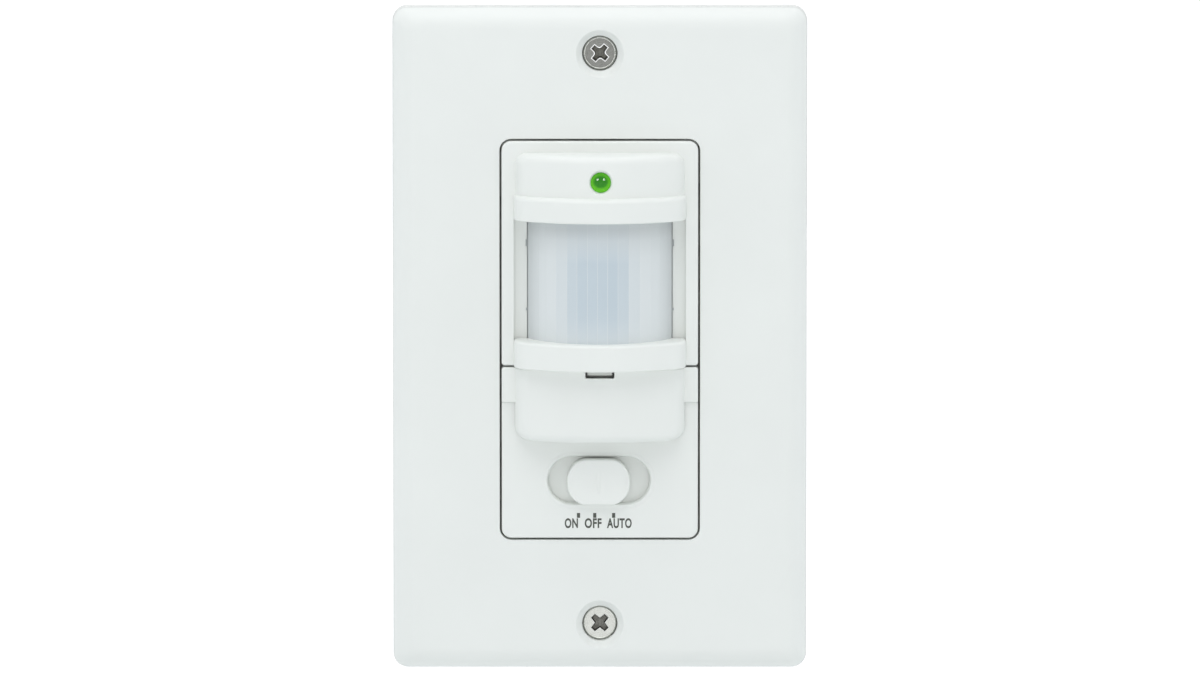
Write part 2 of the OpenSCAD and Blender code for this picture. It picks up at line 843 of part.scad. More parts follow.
module pir_window() {
    color(BLACK) upright() translate([0, pir_up, pir_z])
        block(window_w + 2 * window_lap, window_h + 2 * window_lap,
            pir_h - pir_wall - window_t, pir_h - pir_wall);
}

module at_pir_leads() {
    for (a = [45, 135, 270]) rotate(a) translate([pir_lead_pcd / 2, 0, 0]) children();
}

module pir_spacer() {
    color(BLACK) upright() translate([0, pir_up, 0]) difference() {
        rod(pir_flange_r, sensor_z, pir_z);
        at_pir_leads() rod(pir_lead_r + lead_clear, sensor_z - 1, pir_z + 1);
    }
}

module pir_leads() {
    color(STEEL) upright() translate([0, pir_up, 0])
        at_pir_leads() rod(pir_lead_r, sensor_back_z - lead_end, pir_z);
}

module light_sensor() {
    color([0.85, 0.80, 0.60]) upright() translate([light_sensor_at.x, light_sensor_at.y, sensor_z]) {
        rod(light_sensor_r, 0, light_sensor_l);
        translate([0, 0, light_sensor_l]) dome(light_sensor_r);
    }
}

module control_chip() {
    color(BLACK) upright() translate([chip_at.x, chip_at.y, 0])
        block(chip_size.x, chip_size.y, sensor_z, sensor_z + chip_size.z);
}

module at_board_posts() {
    at_four_corners(post_x, post_up) children();
}

module sensor_board() {
    color(BOARD_GREEN) upright() difference() {
        union() {
            block(board_w, board_h, sensor_back_z, sensor_z);
            translate([0, (board_tab_top + board_tab_bottom) / 2, 0])
                block(board_tab_w, board_tab_top - board_tab_bottom, sensor_back_z, sensor_z);
        }
        at_board_posts() rod(board_screw_r + hole_room, sensor_back_z - 1, sensor_z + 1);
        for (sx = [-1, 1]) translate([sx * led_leg_pitch / 2, led_up, 0])
            rod(led_leg_r + lead_clear, sensor_back_z - 1, sensor_z + 1);
        translate([0, pir_up, 0]) at_pir_leads()
            rod(pir_lead_r + lead_clear, sensor_back_z - 1, sensor_z + 1);
    }
}

// A slotted dial on a shaft that turns in its trimmer
module dial(i) {
    color([0.95, 0.95, 0.93]) upright() translate([i * dial_pitch, dial_up, 0]) difference() {
        union() {
            rod(dial_shaft_r, sensor_z + trimmer_t - dial_seat + slide_gap, dial_z - dial_head_t + eps);
            rod(dial_d / 2, dial_z - dial_head_t, dial_z);
        }
        block(dial_slot.x, dial_slot.y, dial_z - dial_slot.z, dial_z + 1);
        translate([0, dial_d / 2 - dial_mark.y / 2, 0])
            block(dial_mark.x, dial_mark.y, dial_z - dial_mark.z, dial_z + 1);
    }
}

module trimmer(i) {
    color([0.12, 0.25, 0.50]) upright() translate([i * dial_pitch, dial_up, 0]) difference() {
        block(trimmer_w, trimmer_w, sensor_z, sensor_z + trimmer_t);
        rod(dial_shaft_r + dial_shaft_clear, sensor_z + trimmer_t - dial_seat, 0);
    }
}

module time_dial() {
    dial(-1);
}

module light_dial() {
    dial(0);
}

module range_dial() {
    dial(1);
}

module time_trimmer() {
    trimmer(-1);
}

module light_trimmer() {
    trimmer(0);
}

module range_trimmer() {
    trimmer(1);
}

module board_header() {
    color(BLACK) upright() translate([header_at.x, header_at.y, 0])
        block(header_size.x, header_size.y, power_z, sensor_back_z);
}

module power_board() {
    color(BOARD_GREEN) upright() difference() {
        block(board_w, board_h, power_back_z, power_z);
        at_board_posts() rod(post_r + hole_room, power_back_z - 1, power_z + 1);
    }
}

module relay() {
    color([0.16, 0.30, 0.62]) upright() translate([relay_at.x, relay_at.y, 0])
        block(relay_size.x, relay_size.y, power_z, power_z + relay_size.z);
}

module film_capacitor() {
    color([0.75, 0.20, 0.15]) upright() translate([film_at.x, film_at.y, 0])
        block(film_size.x, film_size.y, power_z, power_z + film_size.z);
}

module filter_capacitor() {
    color([0.12, 0.14, 0.24]) upright() translate([filter_at.x, filter_at.y, 0])
        rod(filter_r, power_z, power_z + filter_l);
}

module varistor() {
    color([0.15, 0.35, 0.70]) upright() translate([varistor_at.x, varistor_at.y, power_z + varistor_r])
        rotate([90, 0, 0]) cylinder(r = varistor_r, h = varistor_t, center = true);
}

module rear_housing() {
    well_r = fix_head_r + hole_room;
    niche_block = niche + 2 * niche_side;
    color(BLACK) upright() difference() {
        union() {
            difference() {
                face(-housing_depth, 0) round_rect(housing_w, housing_h, housing_r);
                face(housing_floor_z, 1) round_rect(housing_in_w, housing_in_h, housing_in_r);
            }
            intersection() {
                at_four_corners(fix_x, fix_up) rod(fix_post_r, -housing_depth, 0);
                face(-housing_depth, 0) round_rect(housing_w, housing_h, housing_r);
            }
            at_board_posts() {
                rod(post_low_r, housing_floor_z - eps, power_back_z);
                rod(post_r, power_back_z - eps, sensor_back_z);
            }
            for (sy = [-1, 1]) translate([niche_floor_x - niche_wall, sy * terminal_up, niche_z])
                translate([0, -niche / 2 - niche_side, -niche / 2 - niche_side])
                cube([niche_depth + niche_wall - housing_wall + eps, niche_block, niche_block]);
        }
        at_four_corners(fix_x, fix_up) {
            rod(fix_r + hole_room, -housing_depth - 1, 1);
            rod(well_r, -housing_depth - 1, fix_head_z);
        }
        at_board_posts() rod(board_screw_r + fix_clear, sensor_back_z - board_screw_l, 1);
        for (sy = [-1, 1]) translate([niche_floor_x, sy * terminal_up, niche_z]) {
            translate([0, -niche / 2, -niche / 2]) cube([housing_w, niche, niche]);
            rotate([0, 90, 0]) cylinder(r = screw_d / 2 + fix_clear, h = 3 * niche_wall, center = true);
        }
    }
}

module housing_screws() {
    color(STEEL) upright() at_four_corners(fix_x, fix_up)
        mirror([0, 0, 1]) cross_screw(-fix_head_z + fix_head_t, fix_head_r, fix_head_t, fix_r,
            panel_inner_z - 1.5 * front_boss_cap - fix_head_z);
}

module board_screws() {
    color(STEEL) upright() at_board_posts()
        cross_screw(sensor_z + board_head_t, board_head_r, board_head_t, board_screw_r, board_screw_l);
}

module terminal_plates() {
    plate = niche - 2 * terminal_room;
    color(BRASS) upright() for (sy = [-1, 1]) translate([niche_floor_x, sy * terminal_up, niche_z])
        difference() {
            translate([0, -plate / 2, -plate / 2]) cube([terminal_t, plate, plate]);
            rotate([0, 90, 0]) cylinder(r = screw_d / 2 + fix_clear, h = 3 * terminal_t, center = true);
        }
}

module terminal_screws() {
    color(BRASS) upright() for (sy = [-1, 1]) translate([niche_floor_x, sy * terminal_up, niche_z])
        rotate([0, 90, 0]) cross_screw(terminal_t + terminal_head_t, terminal_head_r, terminal_head_t,
            screw_d / 2, terminal_l);
}

wall_plate();
plate_screw_top();
plate_screw_bottom();
mounting_strap();
ground_screw();
sensor_bezel();
switch_panel();
control_door();
mode_slider();
mode_switch_carriage();
mode_switch_body();
fresnel_lens();
lens_retainer();
status_led();
led_legs();
pir_can();
pir_window();
pir_spacer();
pir_leads();
light_sensor();
control_chip();
sensor_board();
time_dial();
light_dial();
range_dial();
time_trimmer();
light_trimmer();
range_trimmer();
board_header();
power_board();
relay();
film_capacitor();
filter_capacitor();
varistor();
rear_housing();
housing_screws();
board_screws();
terminal_plates();
terminal_screws();
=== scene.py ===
# %% [markdown]
# # A motion sensor wall switch
# This lesson dresses a wall switch for a product picture. The CAD model holds the true sizes and the
# joints, and it comes in first as a fixed frame that nothing here may move. The pieces that show are then
# built again as smooth meshes on top of it, because a moulded part has small rounded edges that catch
# the light, and those are what make white plastic readable on a white background.

# %% Load the fixed frame
import math
from types import SimpleNamespace

import bmesh
import bpy
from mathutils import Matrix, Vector


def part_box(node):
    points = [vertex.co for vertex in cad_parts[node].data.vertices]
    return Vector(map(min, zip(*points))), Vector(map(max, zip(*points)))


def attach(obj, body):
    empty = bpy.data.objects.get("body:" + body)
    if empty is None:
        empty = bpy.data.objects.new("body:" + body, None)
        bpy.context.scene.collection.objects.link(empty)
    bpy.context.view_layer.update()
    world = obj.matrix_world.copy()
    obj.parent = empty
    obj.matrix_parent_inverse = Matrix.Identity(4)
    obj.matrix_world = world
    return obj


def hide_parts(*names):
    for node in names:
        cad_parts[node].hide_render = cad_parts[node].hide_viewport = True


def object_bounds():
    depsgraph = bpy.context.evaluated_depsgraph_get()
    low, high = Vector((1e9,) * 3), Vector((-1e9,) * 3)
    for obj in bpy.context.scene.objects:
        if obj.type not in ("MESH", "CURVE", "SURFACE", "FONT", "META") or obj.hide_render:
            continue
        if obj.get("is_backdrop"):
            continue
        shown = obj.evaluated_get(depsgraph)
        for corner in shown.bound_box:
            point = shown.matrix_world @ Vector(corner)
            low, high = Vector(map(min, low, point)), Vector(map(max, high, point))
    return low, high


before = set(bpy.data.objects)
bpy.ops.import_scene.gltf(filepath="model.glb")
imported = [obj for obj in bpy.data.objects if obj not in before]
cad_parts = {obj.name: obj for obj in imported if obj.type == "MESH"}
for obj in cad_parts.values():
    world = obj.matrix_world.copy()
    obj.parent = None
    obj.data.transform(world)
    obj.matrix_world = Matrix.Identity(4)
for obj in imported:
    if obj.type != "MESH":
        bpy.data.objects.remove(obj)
cad_low, cad_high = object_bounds()

# %% [markdown]
# Blender works in metres, and a switch is easier to think about in millimetres. So every place in this
# file is given as across, up and out: out is the distance from the wall towards the viewer. The outer
# sizes of the main pieces are read from the CAD nodes, so that they lie where the nodes do. What a box
# can't tell, such as a radius or the place of an edge in the photograph, is a named value in millimetres.

# %% Millimetres, and the CAD boxes
MM = 0.001


def spot(across, up, out):
    """A point given in millimetres: across, up, and out from the wall."""
    return Vector((across, -out, up)) * MM


def measure(node):
    """The box of a CAD node in millimetres, as seen from the front."""
    low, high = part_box(node)
    return SimpleNamespace(
        left=low.x / MM, right=high.x / MM, low=low.z / MM, high=high.z / MM,
        back=-high.y / MM, front=-low.y / MM, up=(low.z + high.z) / 2 / MM,
    )


plate = measure("wall_plate")
bezel = measure("sensor_bezel")
panel = measure("switch_panel")
door = measure("control_door")
slider = measure("mode_slider")
lens = measure("fresnel_lens")
print("plate", round(plate.right - plate.left, 2), "by", round(plate.high - plate.low, 2), "mm")

# %% [markdown]
# The photograph looks a little down on the switch, and its edges stay parallel, so it was taken with a
# long lens from some way off. The plate is 414.4 of the picture's 1200 pixels wide, which gives the
# width of the view, and the lens follows from that width and the distance. An orthographic camera would
# do as well here, but a long lens also gives good views from the other sides.

# %% Camera
PHOTO_W = 1200
PLATE_PIXELS = 414.4
LOOK_DOWN = math.radians(7.0)
DISTANCE = 2.2
AIM = spot(0.03, 0.41, 6.2)

view_width = (plate.right - plate.left) * MM * PHOTO_W / PLATE_PIXELS
towards_camera = Vector((0, -math.cos(LOOK_DOWN), math.sin(LOOK_DOWN)))
camera = bpy.data.objects.new("camera", bpy.data.cameras.new("camera"))
camera.data.lens = camera.data.sensor_width * DISTANCE / view_width
camera.data.clip_end = 50
camera.location = AIM + towards_camera * DISTANCE
camera.rotation_euler = towards_camera.to_track_quat("Z", "Y").to_euler()
bpy.context.scene.collection.objects.link(camera)
bpy.context.scene.camera = camera
bpy.context.scene.view_settings.view_transform = "Standard"
print("lens", round(camera.data.lens), "mm")

# %% [markdown]
# The picture was lit evenly, as in a white tent, with a large soft box above the switch and two small ones
# beside the camera. The one above makes the soft shadows under the hood, the band and the door, and the
# small ones make the two bright spots in the status light. A fourth one lights the back, which only the
# views from behind show. The tent's glow comes from three levels, one for each direction, and a little
# more from the top. Rays that come straight from the camera, or that a shiny surface or glass sends on,
# see a plain white instead, so the background stays white without any more light on the switch.

# %% Studio light
TENT_COLOR = (0.968, 0.995, 1.04, 1)
# The glow from the sides, from front and back, and from above and below, and what the top has more
TENT_LEVELS = (1.15, 0.07, 1.03)
TENT_TOP = 0.137
WHITE = (1, 1, 1, 1)
SOFTBOX_DISTANCE = 0.9
# Each soft box: name, degrees to the right, degrees up, side in metres, watts
SOFTBOXES = (("left", -8.5, 4.3, 0.075, 0.42), ("right", 8.5, 4.3, 0.075, 0.42),
             ("top", -8, 62, 0.7, 2.15), ("back", 180, 6, 0.7, 2.0))


def add_node(tree, kind, feeds=None, values=None, **settings):
    """A shader node with its settings, plain values by socket, and the outputs that feed its sockets."""
    made = tree.nodes.new("ShaderNode" + kind)
    for name, value in settings.items():
        setattr(made, name, value)
    for socket, value in (values or {}).items():
        made.inputs[socket].default_value = value
    for socket, output in (feeds or {}).items():
        tree.links.new(output, made.inputs[socket])
    return made


def white_view(tree):
    """A factor that is 1 for rays that show the background: straight, mirrored or through glass."""
    path = add_node(tree, "LightPath")
    total = path.outputs["Is Camera Ray"]
    for ray in ("Is Glossy Ray", "Is Transmission Ray"):
        total = add_node(tree, "Math", {0: total, 1: path.outputs[ray]}, operation="MAXIMUM").outputs[0]
    return total


def studio_world():
    world = bpy.data.worlds.new("studio")
    world.use_nodes = True
    tree = world.node_tree
    tree.nodes.clear()
    way = add_node(tree, "TexCoord").outputs["Generated"]
    square = add_node(tree, "VectorMath", {0: way, 1: way}, operation="MULTIPLY").outputs[0]
    sides = add_node(tree, "VectorMath", {0: square}, {1: TENT_LEVELS}, operation="DOT_PRODUCT")
    top = add_node(tree, "VectorMath", {0: way}, {1: (0, 0, TENT_TOP)}, operation="DOT_PRODUCT")
    glow = add_node(tree, "Math", {0: sides.outputs["Value"], 1: top.outputs["Value"]})
    tent = add_node(tree, "Background", {"Strength": glow.outputs[0]}, {"Color": TENT_COLOR})
    white = add_node(tree, "Background", values={"Color": WHITE, "Strength": 1.0})
    mix = add_node(tree, "MixShader", {0: white_view(tree), 1: tent.outputs[0], 2: white.outputs[0]})
    add_node(tree, "OutputWorld", {0: mix.outputs[0]})
    return world


def softbox(name, turn, rise, side, watts):
    lamp = bpy.data.lights.new("softbox_" + name, "AREA")
    lamp.size = side
    lamp.energy = watts
    box = bpy.data.objects.new("softbox_" + name, lamp)
    turn, rise = math.radians(turn), math.radians(rise)
    way = Vector((math.sin(turn) * math.cos(rise), -math.cos(turn) * math.cos(rise), math.sin(rise)))
    box.location = way * SOFTBOX_DISTANCE
    box.rotation_euler = way.to_track_quat("Z", "Y").to_euler()
    bpy.context.scene.collection.objects.link(box)


bpy.context.scene.world = studio_world()
for values in SOFTBOXES:
    softbox(*values)
print("world and", len(SOFTBOXES), "soft boxes")

# %% [markdown]
# A wall switch stands on nothing, so the floor lies a little way below it and only takes its shadow. The
# floor has the same white view as the world, with a share of plain diffuse white that keeps the shadow.

# %% Floor
FLOOR_DROP = 30
FLOOR_SIDE = 12.0
FLOOR_WHITE = (0.84, 0.86, 0.86, 1)
FLOOR_SHADE = (0.4, 0.4, 0.4, 1)
FLOOR_GLOW = 0.72


def floor_paint():
    paint = bpy.data.materials.new("floor_paint")
    paint.use_nodes = True
    tree = paint.node_tree
    tree.nodes.clear()
    plain = add_node(tree, "BsdfDiffuse", values={"Color": FLOOR_WHITE})
    shaded = add_node(tree, "BsdfDiffuse", values={"Color": FLOOR_SHADE})
    glow = add_node(tree, "Emission", values={"Strength": FLOOR_GLOW})
    seen = add_node(tree, "AddShader", {0: shaded.outputs[0], 1: glow.outputs[0]})
    mix = add_node(tree, "MixShader", {0: white_view(tree), 1: plain.outputs[0], 2: seen.outputs[0]})
    add_node(tree, "OutputMaterial", {0: mix.outputs[0]})
    return paint


def make_floor():
    bm = bmesh.new()
    bmesh.ops.create_grid(bm, x_segments=8, y_segments=8, size=FLOOR_SIDE / 2)
    mesh = bpy.data.meshes.new("floor")
    bm.to_mesh(mesh)
    bm.free()
    floor = bpy.data.objects.new("floor", mesh)
    floor.location.z = cad_low.z - FLOOR_DROP * MM
    mesh.materials.append(floor_paint())
    bpy.context.scene.collection.objects.link(floor)
    floor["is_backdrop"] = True


make_floor()
print("floor", FLOOR_DROP, "mm below the plate")

# %% [markdown]
# A finish is a small tree of shader nodes. Most of it is always the same: a noise, a ramp that turns a
# number into a colour, and a stretch from one range of numbers to another. An image could give a finish
# too, but a noise in the piece's own coordinates needs no unwrapping. It keeps the grain at its real size,
# and on the piece when it moves.

# %% Shader helpers
NOISE_LOW = 0.3
NOISE_HIGH = 0.7


def shader(name):
    """A new material with its principled shader: (material, node tree, shader)."""
    made = bpy.data.materials.new(name)
    made.use_nodes = True
    tree = made.node_tree
    return made, tree, tree.nodes["Principled BSDF"]


def own_place(tree):
    """The piece's own coordinates, in metres."""
    return add_node(tree, "TexCoord").outputs["Object"]


def own_axis(tree, axis):
    """One of the piece's own coordinates."""
    return add_node(tree, "SeparateXYZ", {0: own_place(tree)}).outputs[axis]


def noise(tree, scale):
    """A noise in the piece's own coordinates, with scale in lumps per metre."""
    return add_node(tree, "TexNoise", {"Vector": own_place(tree)}, {"Scale": scale}).outputs["Fac"]


def ramp(tree, factor, stops, kind="LINEAR"):
    """Colours along a factor, given as (place, colour) stops."""
    made = add_node(tree, "ValToRGB", {"Fac": factor})
    made.color_ramp.interpolation = kind
    while len(made.color_ramp.elements) < len(stops):
        made.color_ramp.elements.new(0.5)
    for element, (place, color) in zip(made.color_ramp.elements, stops):
        element.position = place
        element.color = (*color, 1)
    return made.outputs["Color"]


def spread(tree, factor, low=0.0, high=1.0, start=NOISE_LOW, end=NOISE_HIGH):
    """A factor that runs from start to end, as a noise does, stretched to run from low to high."""
    sizes = {"From Min": start, "From Max": end, "To Min": low, "To Max": high}
    return add_node(tree, "MapRange", {"Value": factor}, sizes).outputs["Result"]


def times(tree, a, b):
    """Two factors or colours, multiplied."""
    return add_node(tree, "VectorMath", {0: a, 1: b}, operation="MULTIPLY").outputs[0]


def bump(tree, bsdf, height, strength, depth_mm):
    made = add_node(tree, "Bump", {"Height": height}, {"Strength": strength, "Distance": depth_mm * MM})
    tree.links.new(made.outputs["Normal"], bsdf.inputs["Normal"])


def surface(tree, bsdf, color, rough, patches):
    """Gives a shader its colour, and a roughness that changes in patches of a scale."""
    tree.links.new(color, bsdf.inputs["Base Color"])
    tree.links.new(spread(tree, noise(tree, patches), *rough), bsdf.inputs["Roughness"])


print("a noise runs from about", NOISE_LOW, "to", NOISE_HIGH)

# %% [markdown]
# White plastic is never one flat white. A moulding has slow changes of tone, a sheen that differs a little
# from place to place, and a very fine grain from the mould. Three noises of different sizes give these:
# one for the colour, one for the roughness and one for the bump.

# %% Plastics
TONE_SCALE = 60
SHEEN_SCALE = 350
GRAIN_SCALE = 1500
GRAIN_STRENGTH = 0.25
GRAIN_MM = 0.004


def plastic(name, color, rough=(0.44, 0.52), mottle=0.02):
    made, tree, bsdf = shader(name)
    darker = [c * (1 - mottle) for c in color]
    tone = ramp(tree, noise(tree, TONE_SCALE), [(NOISE_LOW, darker), (NOISE_HIGH, color)])
    surface(tree, bsdf, tone, rough, SHEEN_SCALE)
    bump(tree, bsdf, noise(tree, GRAIN_SCALE), GRAIN_STRENGTH, GRAIN_MM)
    return made


plate_white = plastic("plate_white", (0.802, 0.820, 0.786))
front_white = plastic("front_white", (0.810, 0.828, 0.792), rough=(0.42, 0.50))
knob_white = plastic("knob_white", (0.810, 0.828, 0.792), rough=(0.42, 0.48))
print("three white plastics")

# %% [markdown]
# Most pieces here are stacks of closed outlines. An outline is a short list of points, and its round
# stretches come from sines and cosines, so a corner is as fine as it has to be. One that is seen from the
# front has (across, up) points, and lifting it to its distance from the wall makes it a ring in space.

# %% Outlines


def rounded_box(left, right, low, high, radius, steps=8):
    """A closed outline of (across, up) points. Radius is one number, or one for each corner from the
    lower right round to the lower left."""
    radii = radius if isinstance(radius, (tuple, list)) else (radius,) * 4
    corners = ((right, low, 1, -1, -90), (right, high, 1, 1, 0),
               (left, high, -1, 1, 90), (left, low, -1, -1, 180))
    points = []
    for (x, y, sx, sy, start), r in zip(corners, radii):
        for i in range(steps + 1):
            a = math.radians(start + 90 * i / steps)
            points.append((x - sx * r + r * math.cos(a), y - sy * r + r * math.sin(a)))
    return points


def circle(across, up, radius, steps=64):
    turns = [2 * math.pi * i / steps for i in range(steps)]
    return [(across + radius * math.cos(a), up + radius * math.sin(a)) for a in turns]


def quarter(steps=5):
    """Sine and cosine pairs over a quarter turn, for rounded edges."""
    turns = [math.pi / 2 * i / steps for i in range(steps + 1)]
    return [(math.sin(a), math.cos(a)) for a in turns]


def level(outline, out):
    """An outline seen from the front, lifted to its distance from the wall."""
    return [spot(x, up, out) for x, up in outline]


def eased(outline, edge, face, steps=5):
    """Rings that round a piece over to its face. The outline is a function of how far it is drawn in."""
    return [level(outline(edge * (1 - c)), face - edge * (1 - s)) for s, c in quarter(steps)]


print("a rounded box has", len(rounded_box(plate.left, plate.right, plate.low, plate.high, 1)), "points")

# %% [markdown]
# A loft skins a stack of outlines with quads, and a flat fill closes what is left, with holes where the
# piece has them. A boolean could cut the same holes out of a block, but a loft puts a ring of points
# exactly where an edge turns over, so each edge gets its own small radius, even all the way round. A
# finished piece is smooth but for its sharp edges, rides on a body and stands for its CAD nodes.

# %% Lofts, fills and finished pieces
BASE = "switch_base"
SHARP = math.radians(35)


def bridge(bm, a, b):
    """Quads between two closed rows of vertices."""
    for i in range(len(a)):
        j = (i + 1) % len(a)
        bm.faces.new((a[i], a[j], b[j], b[i]))


def loft(bm, rings):
    """Skins closed rings of points with quads and returns their rows of vertices."""
    rows = [[bm.verts.new(p) for p in ring] for ring in rings]
    for a, b in zip(rows, rows[1:]):
        bridge(bm, a, b)
    return rows


def fill(bm, *rows):
    """Closes the flat area inside the first row of vertices and outside the others."""
    edges = []
    for row in rows:
        for i in range(len(row)):
            ends = (row[i], row[(i + 1) % len(row)])
            edges.append(bm.edges.get(ends) or bm.edges.new(ends))
    bmesh.ops.triangle_fill(bm, edges=edges, use_beauty=True)


def closed_loft(bm, rings):
    """A loft with both ends filled."""
    rows = loft(bm, rings)
    fill(bm, rows[0])
    fill(bm, rows[-1])


def to_object(name, bm, sharp=SHARP):
    """Turns a bmesh into an object with outward faces, smooth but for edges sharper than an angle."""
    bmesh.ops.recalc_face_normals(bm, faces=bm.faces)
    mesh = bpy.data.meshes.new(name)
    bm.to_mesh(mesh)
    bm.free()
    mesh.shade_smooth()
    mesh.set_sharp_from_angle(angle=sharp)
    made = bpy.data.objects.new(name, mesh)
    bpy.context.scene.collection.objects.link(made)
    return made


def finish_piece(made, materials, body, slot, *stands_for):
    """Gives a piece its materials, its body and the CAD nodes that it stands for. The slot is not used."""
    for material in materials:
        made.data.materials.append(material)
    even = made.modifiers.new("even_shading", "WEIGHTED_NORMAL")
    even.keep_sharp = True
    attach(made, body)
    if stands_for:
        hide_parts(*stands_for)
    print(made.name, len(made.data.polygons), "faces")


print("edges stay sharp from", round(math.degrees(SHARP)), "degrees")

# %% [markdown]
# The cover plate is a shallow tray. A wide soft round runs from its flat face to its sides, and is the
# bright line along the top of the plate. The opening has a fine rounded edge, and each screw lies in a
# dished well. From the outside in, the plate is one row of outlines after another, so the sides, the
# round and the hollow behind are all one loft.

# %% Cover plate
PLATE_R = 2.5
PLATE_FACE_R = 0.8
RIM = 2.8
MID_SIDE = RIM * 0.6
BLEND_IN = 3.55
PLATE_WALL = 2.0
HOLLOW_SIDE = RIM - 0.6
HOLLOW_BEND = BLEND_IN * 0.6
HOLLOW_DROP = 0.3
OPENING_GAP = 0.34
OPENING_R = 1.95
OPENING_EDGE = 0.12
SCREW_SPACING = 96.84
# The dish round a screw: radius, and depth below the face
DISH = ((4.1, 0.0), (4.04, 0.02), (3.95, 0.09), (3.8, 0.25),
        (3.5, 0.58), (3.2, 0.88), (3.04, 1.0), (2.97, 1.15))
WELL_R = 2.97
SEAT = 2.8
HOLE_R = 2.1
BOSS_R = 4.73
BOSS_BACK = 1.3


def plate_outline(inset):
    share = min(inset / BLEND_IN, 1.0)
    radius = PLATE_R + (PLATE_FACE_R - PLATE_R) * share
    return rounded_box(plate.left + inset, plate.right - inset, plate.low + inset, plate.high - inset, radius)


def plate_profile():
    """(inset, out) pairs up the side and over a quarter of an ellipse to the face."""
    round_high = plate.front - RIM
    return [(0, 0), (0, MID_SIDE)] + [(BLEND_IN * (1 - c), RIM + round_high * s) for s, c in quarter(18)]


def opening_outline(grow):
    """The opening in the plate, a fine gap wider than the front that it frames."""
    gap = OPENING_GAP + grow
    side = bezel.right + gap
    return rounded_box(-side, side, panel.low - gap, bezel.high + gap, OPENING_R + grow)


def make_plate():
    bm = bmesh.new()
    inner_face = plate.front - PLATE_WALL
    outer = loft(bm, [level(plate_outline(i), out) for i, out in plate_profile()])
    hollow_profile = ((0, 0), (0, HOLLOW_SIDE),
                      (HOLLOW_BEND, inner_face - HOLLOW_DROP), (BLEND_IN, inner_face))
    hollow = loft(bm, [level(plate_outline(i + PLATE_WALL), out) for i, out in hollow_profile])
    bridge(bm, outer[0], hollow[0])
    edge = [level(opening_outline(OPENING_EDGE * (1 - s)), plate.front - OPENING_EDGE * (1 - c))
            for s, c in quarter(4)]
    opening = loft(bm, edge + [level(opening_outline(0), inner_face)])
    wells = []
    for side in (1, -1):
        up = side * SCREW_SPACING / 2
        rings = [(r, plate.front - drop) for r, drop in DISH]
        rings += [(WELL_R, SEAT), (HOLE_R, SEAT), (HOLE_R, BOSS_BACK)]
        rings += [(BOSS_R, BOSS_BACK), (BOSS_R, inner_face)]
        wells.append(loft(bm, [level(circle(0, up, r), out) for r, out in rings]))
    fill(bm, outer[-1], opening[0], *[w[0] for w in wells])
    fill(bm, hollow[-1], opening[-1], *[w[-1] for w in wells])
    return to_object("cover_plate", bm)


cover_plate = make_plate()
print("plate face", round(plate.front, 2), "mm from the wall")

# %% [markdown]
# The sides of the plate get a painted shade: they are greyer than its face, because they face away from the
# light. A ramp over the depth paints that shade on the white that is already there: its colour is multiplied
# by the ramp on its way into the shader. A second material on the side faces would leave a hard line at the
# edge, and the ramp fades out inside the round.

# %% Painted shade on the plate's sides
SIDE_SHADE_GREY = (0.72, 0.72, 0.72)
SIDE_SHADE_STARTS = RIM + 1.1
SIDE_SHADE_FULL = RIM + 0.3


# Painted shade: greys the plate's colour towards its sides, which face away from the light
def paint_side_shade(material):
    tree = material.node_tree
    color = tree.nodes["Principled BSDF"].inputs["Base Color"]
    depth = spread(tree, own_axis(tree, "Y"), start=-SIDE_SHADE_STARTS * MM, end=-SIDE_SHADE_FULL * MM)
    tone = ramp(tree, depth, [(0, (1, 1, 1)), (1, SIDE_SHADE_GREY)])
    tree.links.new(times(tree, color.links[0].from_socket, tone), color)


paint_side_shade(plate_white)
finish_piece(cover_plate, [plate_white], BASE, "plate_plastic", "wall_plate")

# %% [markdown]
# Two machine screws hold the plate. Each has a cross recess, whose arms widen towards the middle. The upper
# screw's recess has round inner corners, and the lower one's has sharper ones. One arm is drawn with a
# curve for its inner corner, and three turned copies of it close the outline.

# %% Cross recess
CORNER_STEPS = (0, 0.17, 0.33, 0.5, 0.67, 0.83, 1)
UPPER_CROSS = SimpleNamespace(reach=1.55, tip=0.42, root=0.46, fillet=0.5, chamfer=0.13,
                              turn=math.radians(49))
LOWER_CROSS = SimpleNamespace(reach=1.64, tip=0.46, root=0.60, fillet=0.1, chamfer=0.06,
                              turn=math.radians(45))


def cross(shape, size=1.0, grow=0.0):
    """The outline of a cross recess, with arms that widen towards rounded inner corners."""
    reach, tip, root = [part * size + grow for part in (shape.reach, shape.tip, shape.root)]
    corner = Vector((root, root))
    start = corner + Vector((reach - root, tip - root)).normalized() * shape.fillet * size
    end = Vector((start.y, start.x))
    arm = [Vector((reach, -tip)), Vector((reach, tip))]
    arm += [start * (1 - t) ** 2 + corner * 2 * t * (1 - t) + end * t * t for t in CORNER_STEPS]
    points = []
    for i in range(4):
        c, s = math.cos(shape.turn + i * math.pi / 2), math.sin(shape.turn + i * math.pi / 2)
        points += [(p.x * c - p.y * s, p.x * s + p.y * c) for p in arm]
    return points


print("cross recesses", 2 * UPPER_CROSS.reach, "and", 2 * LOWER_CROSS.reach, "mm wide")

# %% [markdown]
# Each head is a flat pan with a turned rim. The recess in it is a stack of cross-shaped outlines: first a
# fine chamfer, coloured as a painted highlight, then walls coloured as painted shade, which taper like the
# driver bit that fits them. The thread is a stack of rings whose radius runs round with the angle, which
# makes a true helix.

# %% Plate screws
SHANK_R = 1.7
THREAD_PITCH = 0.8
THREAD_DEPTH = 0.22
THREAD_START = 1.0
RINGS_PER_TURN = 8
SCREW_STEPS = 48
SCREW_SHARP = math.radians(12)
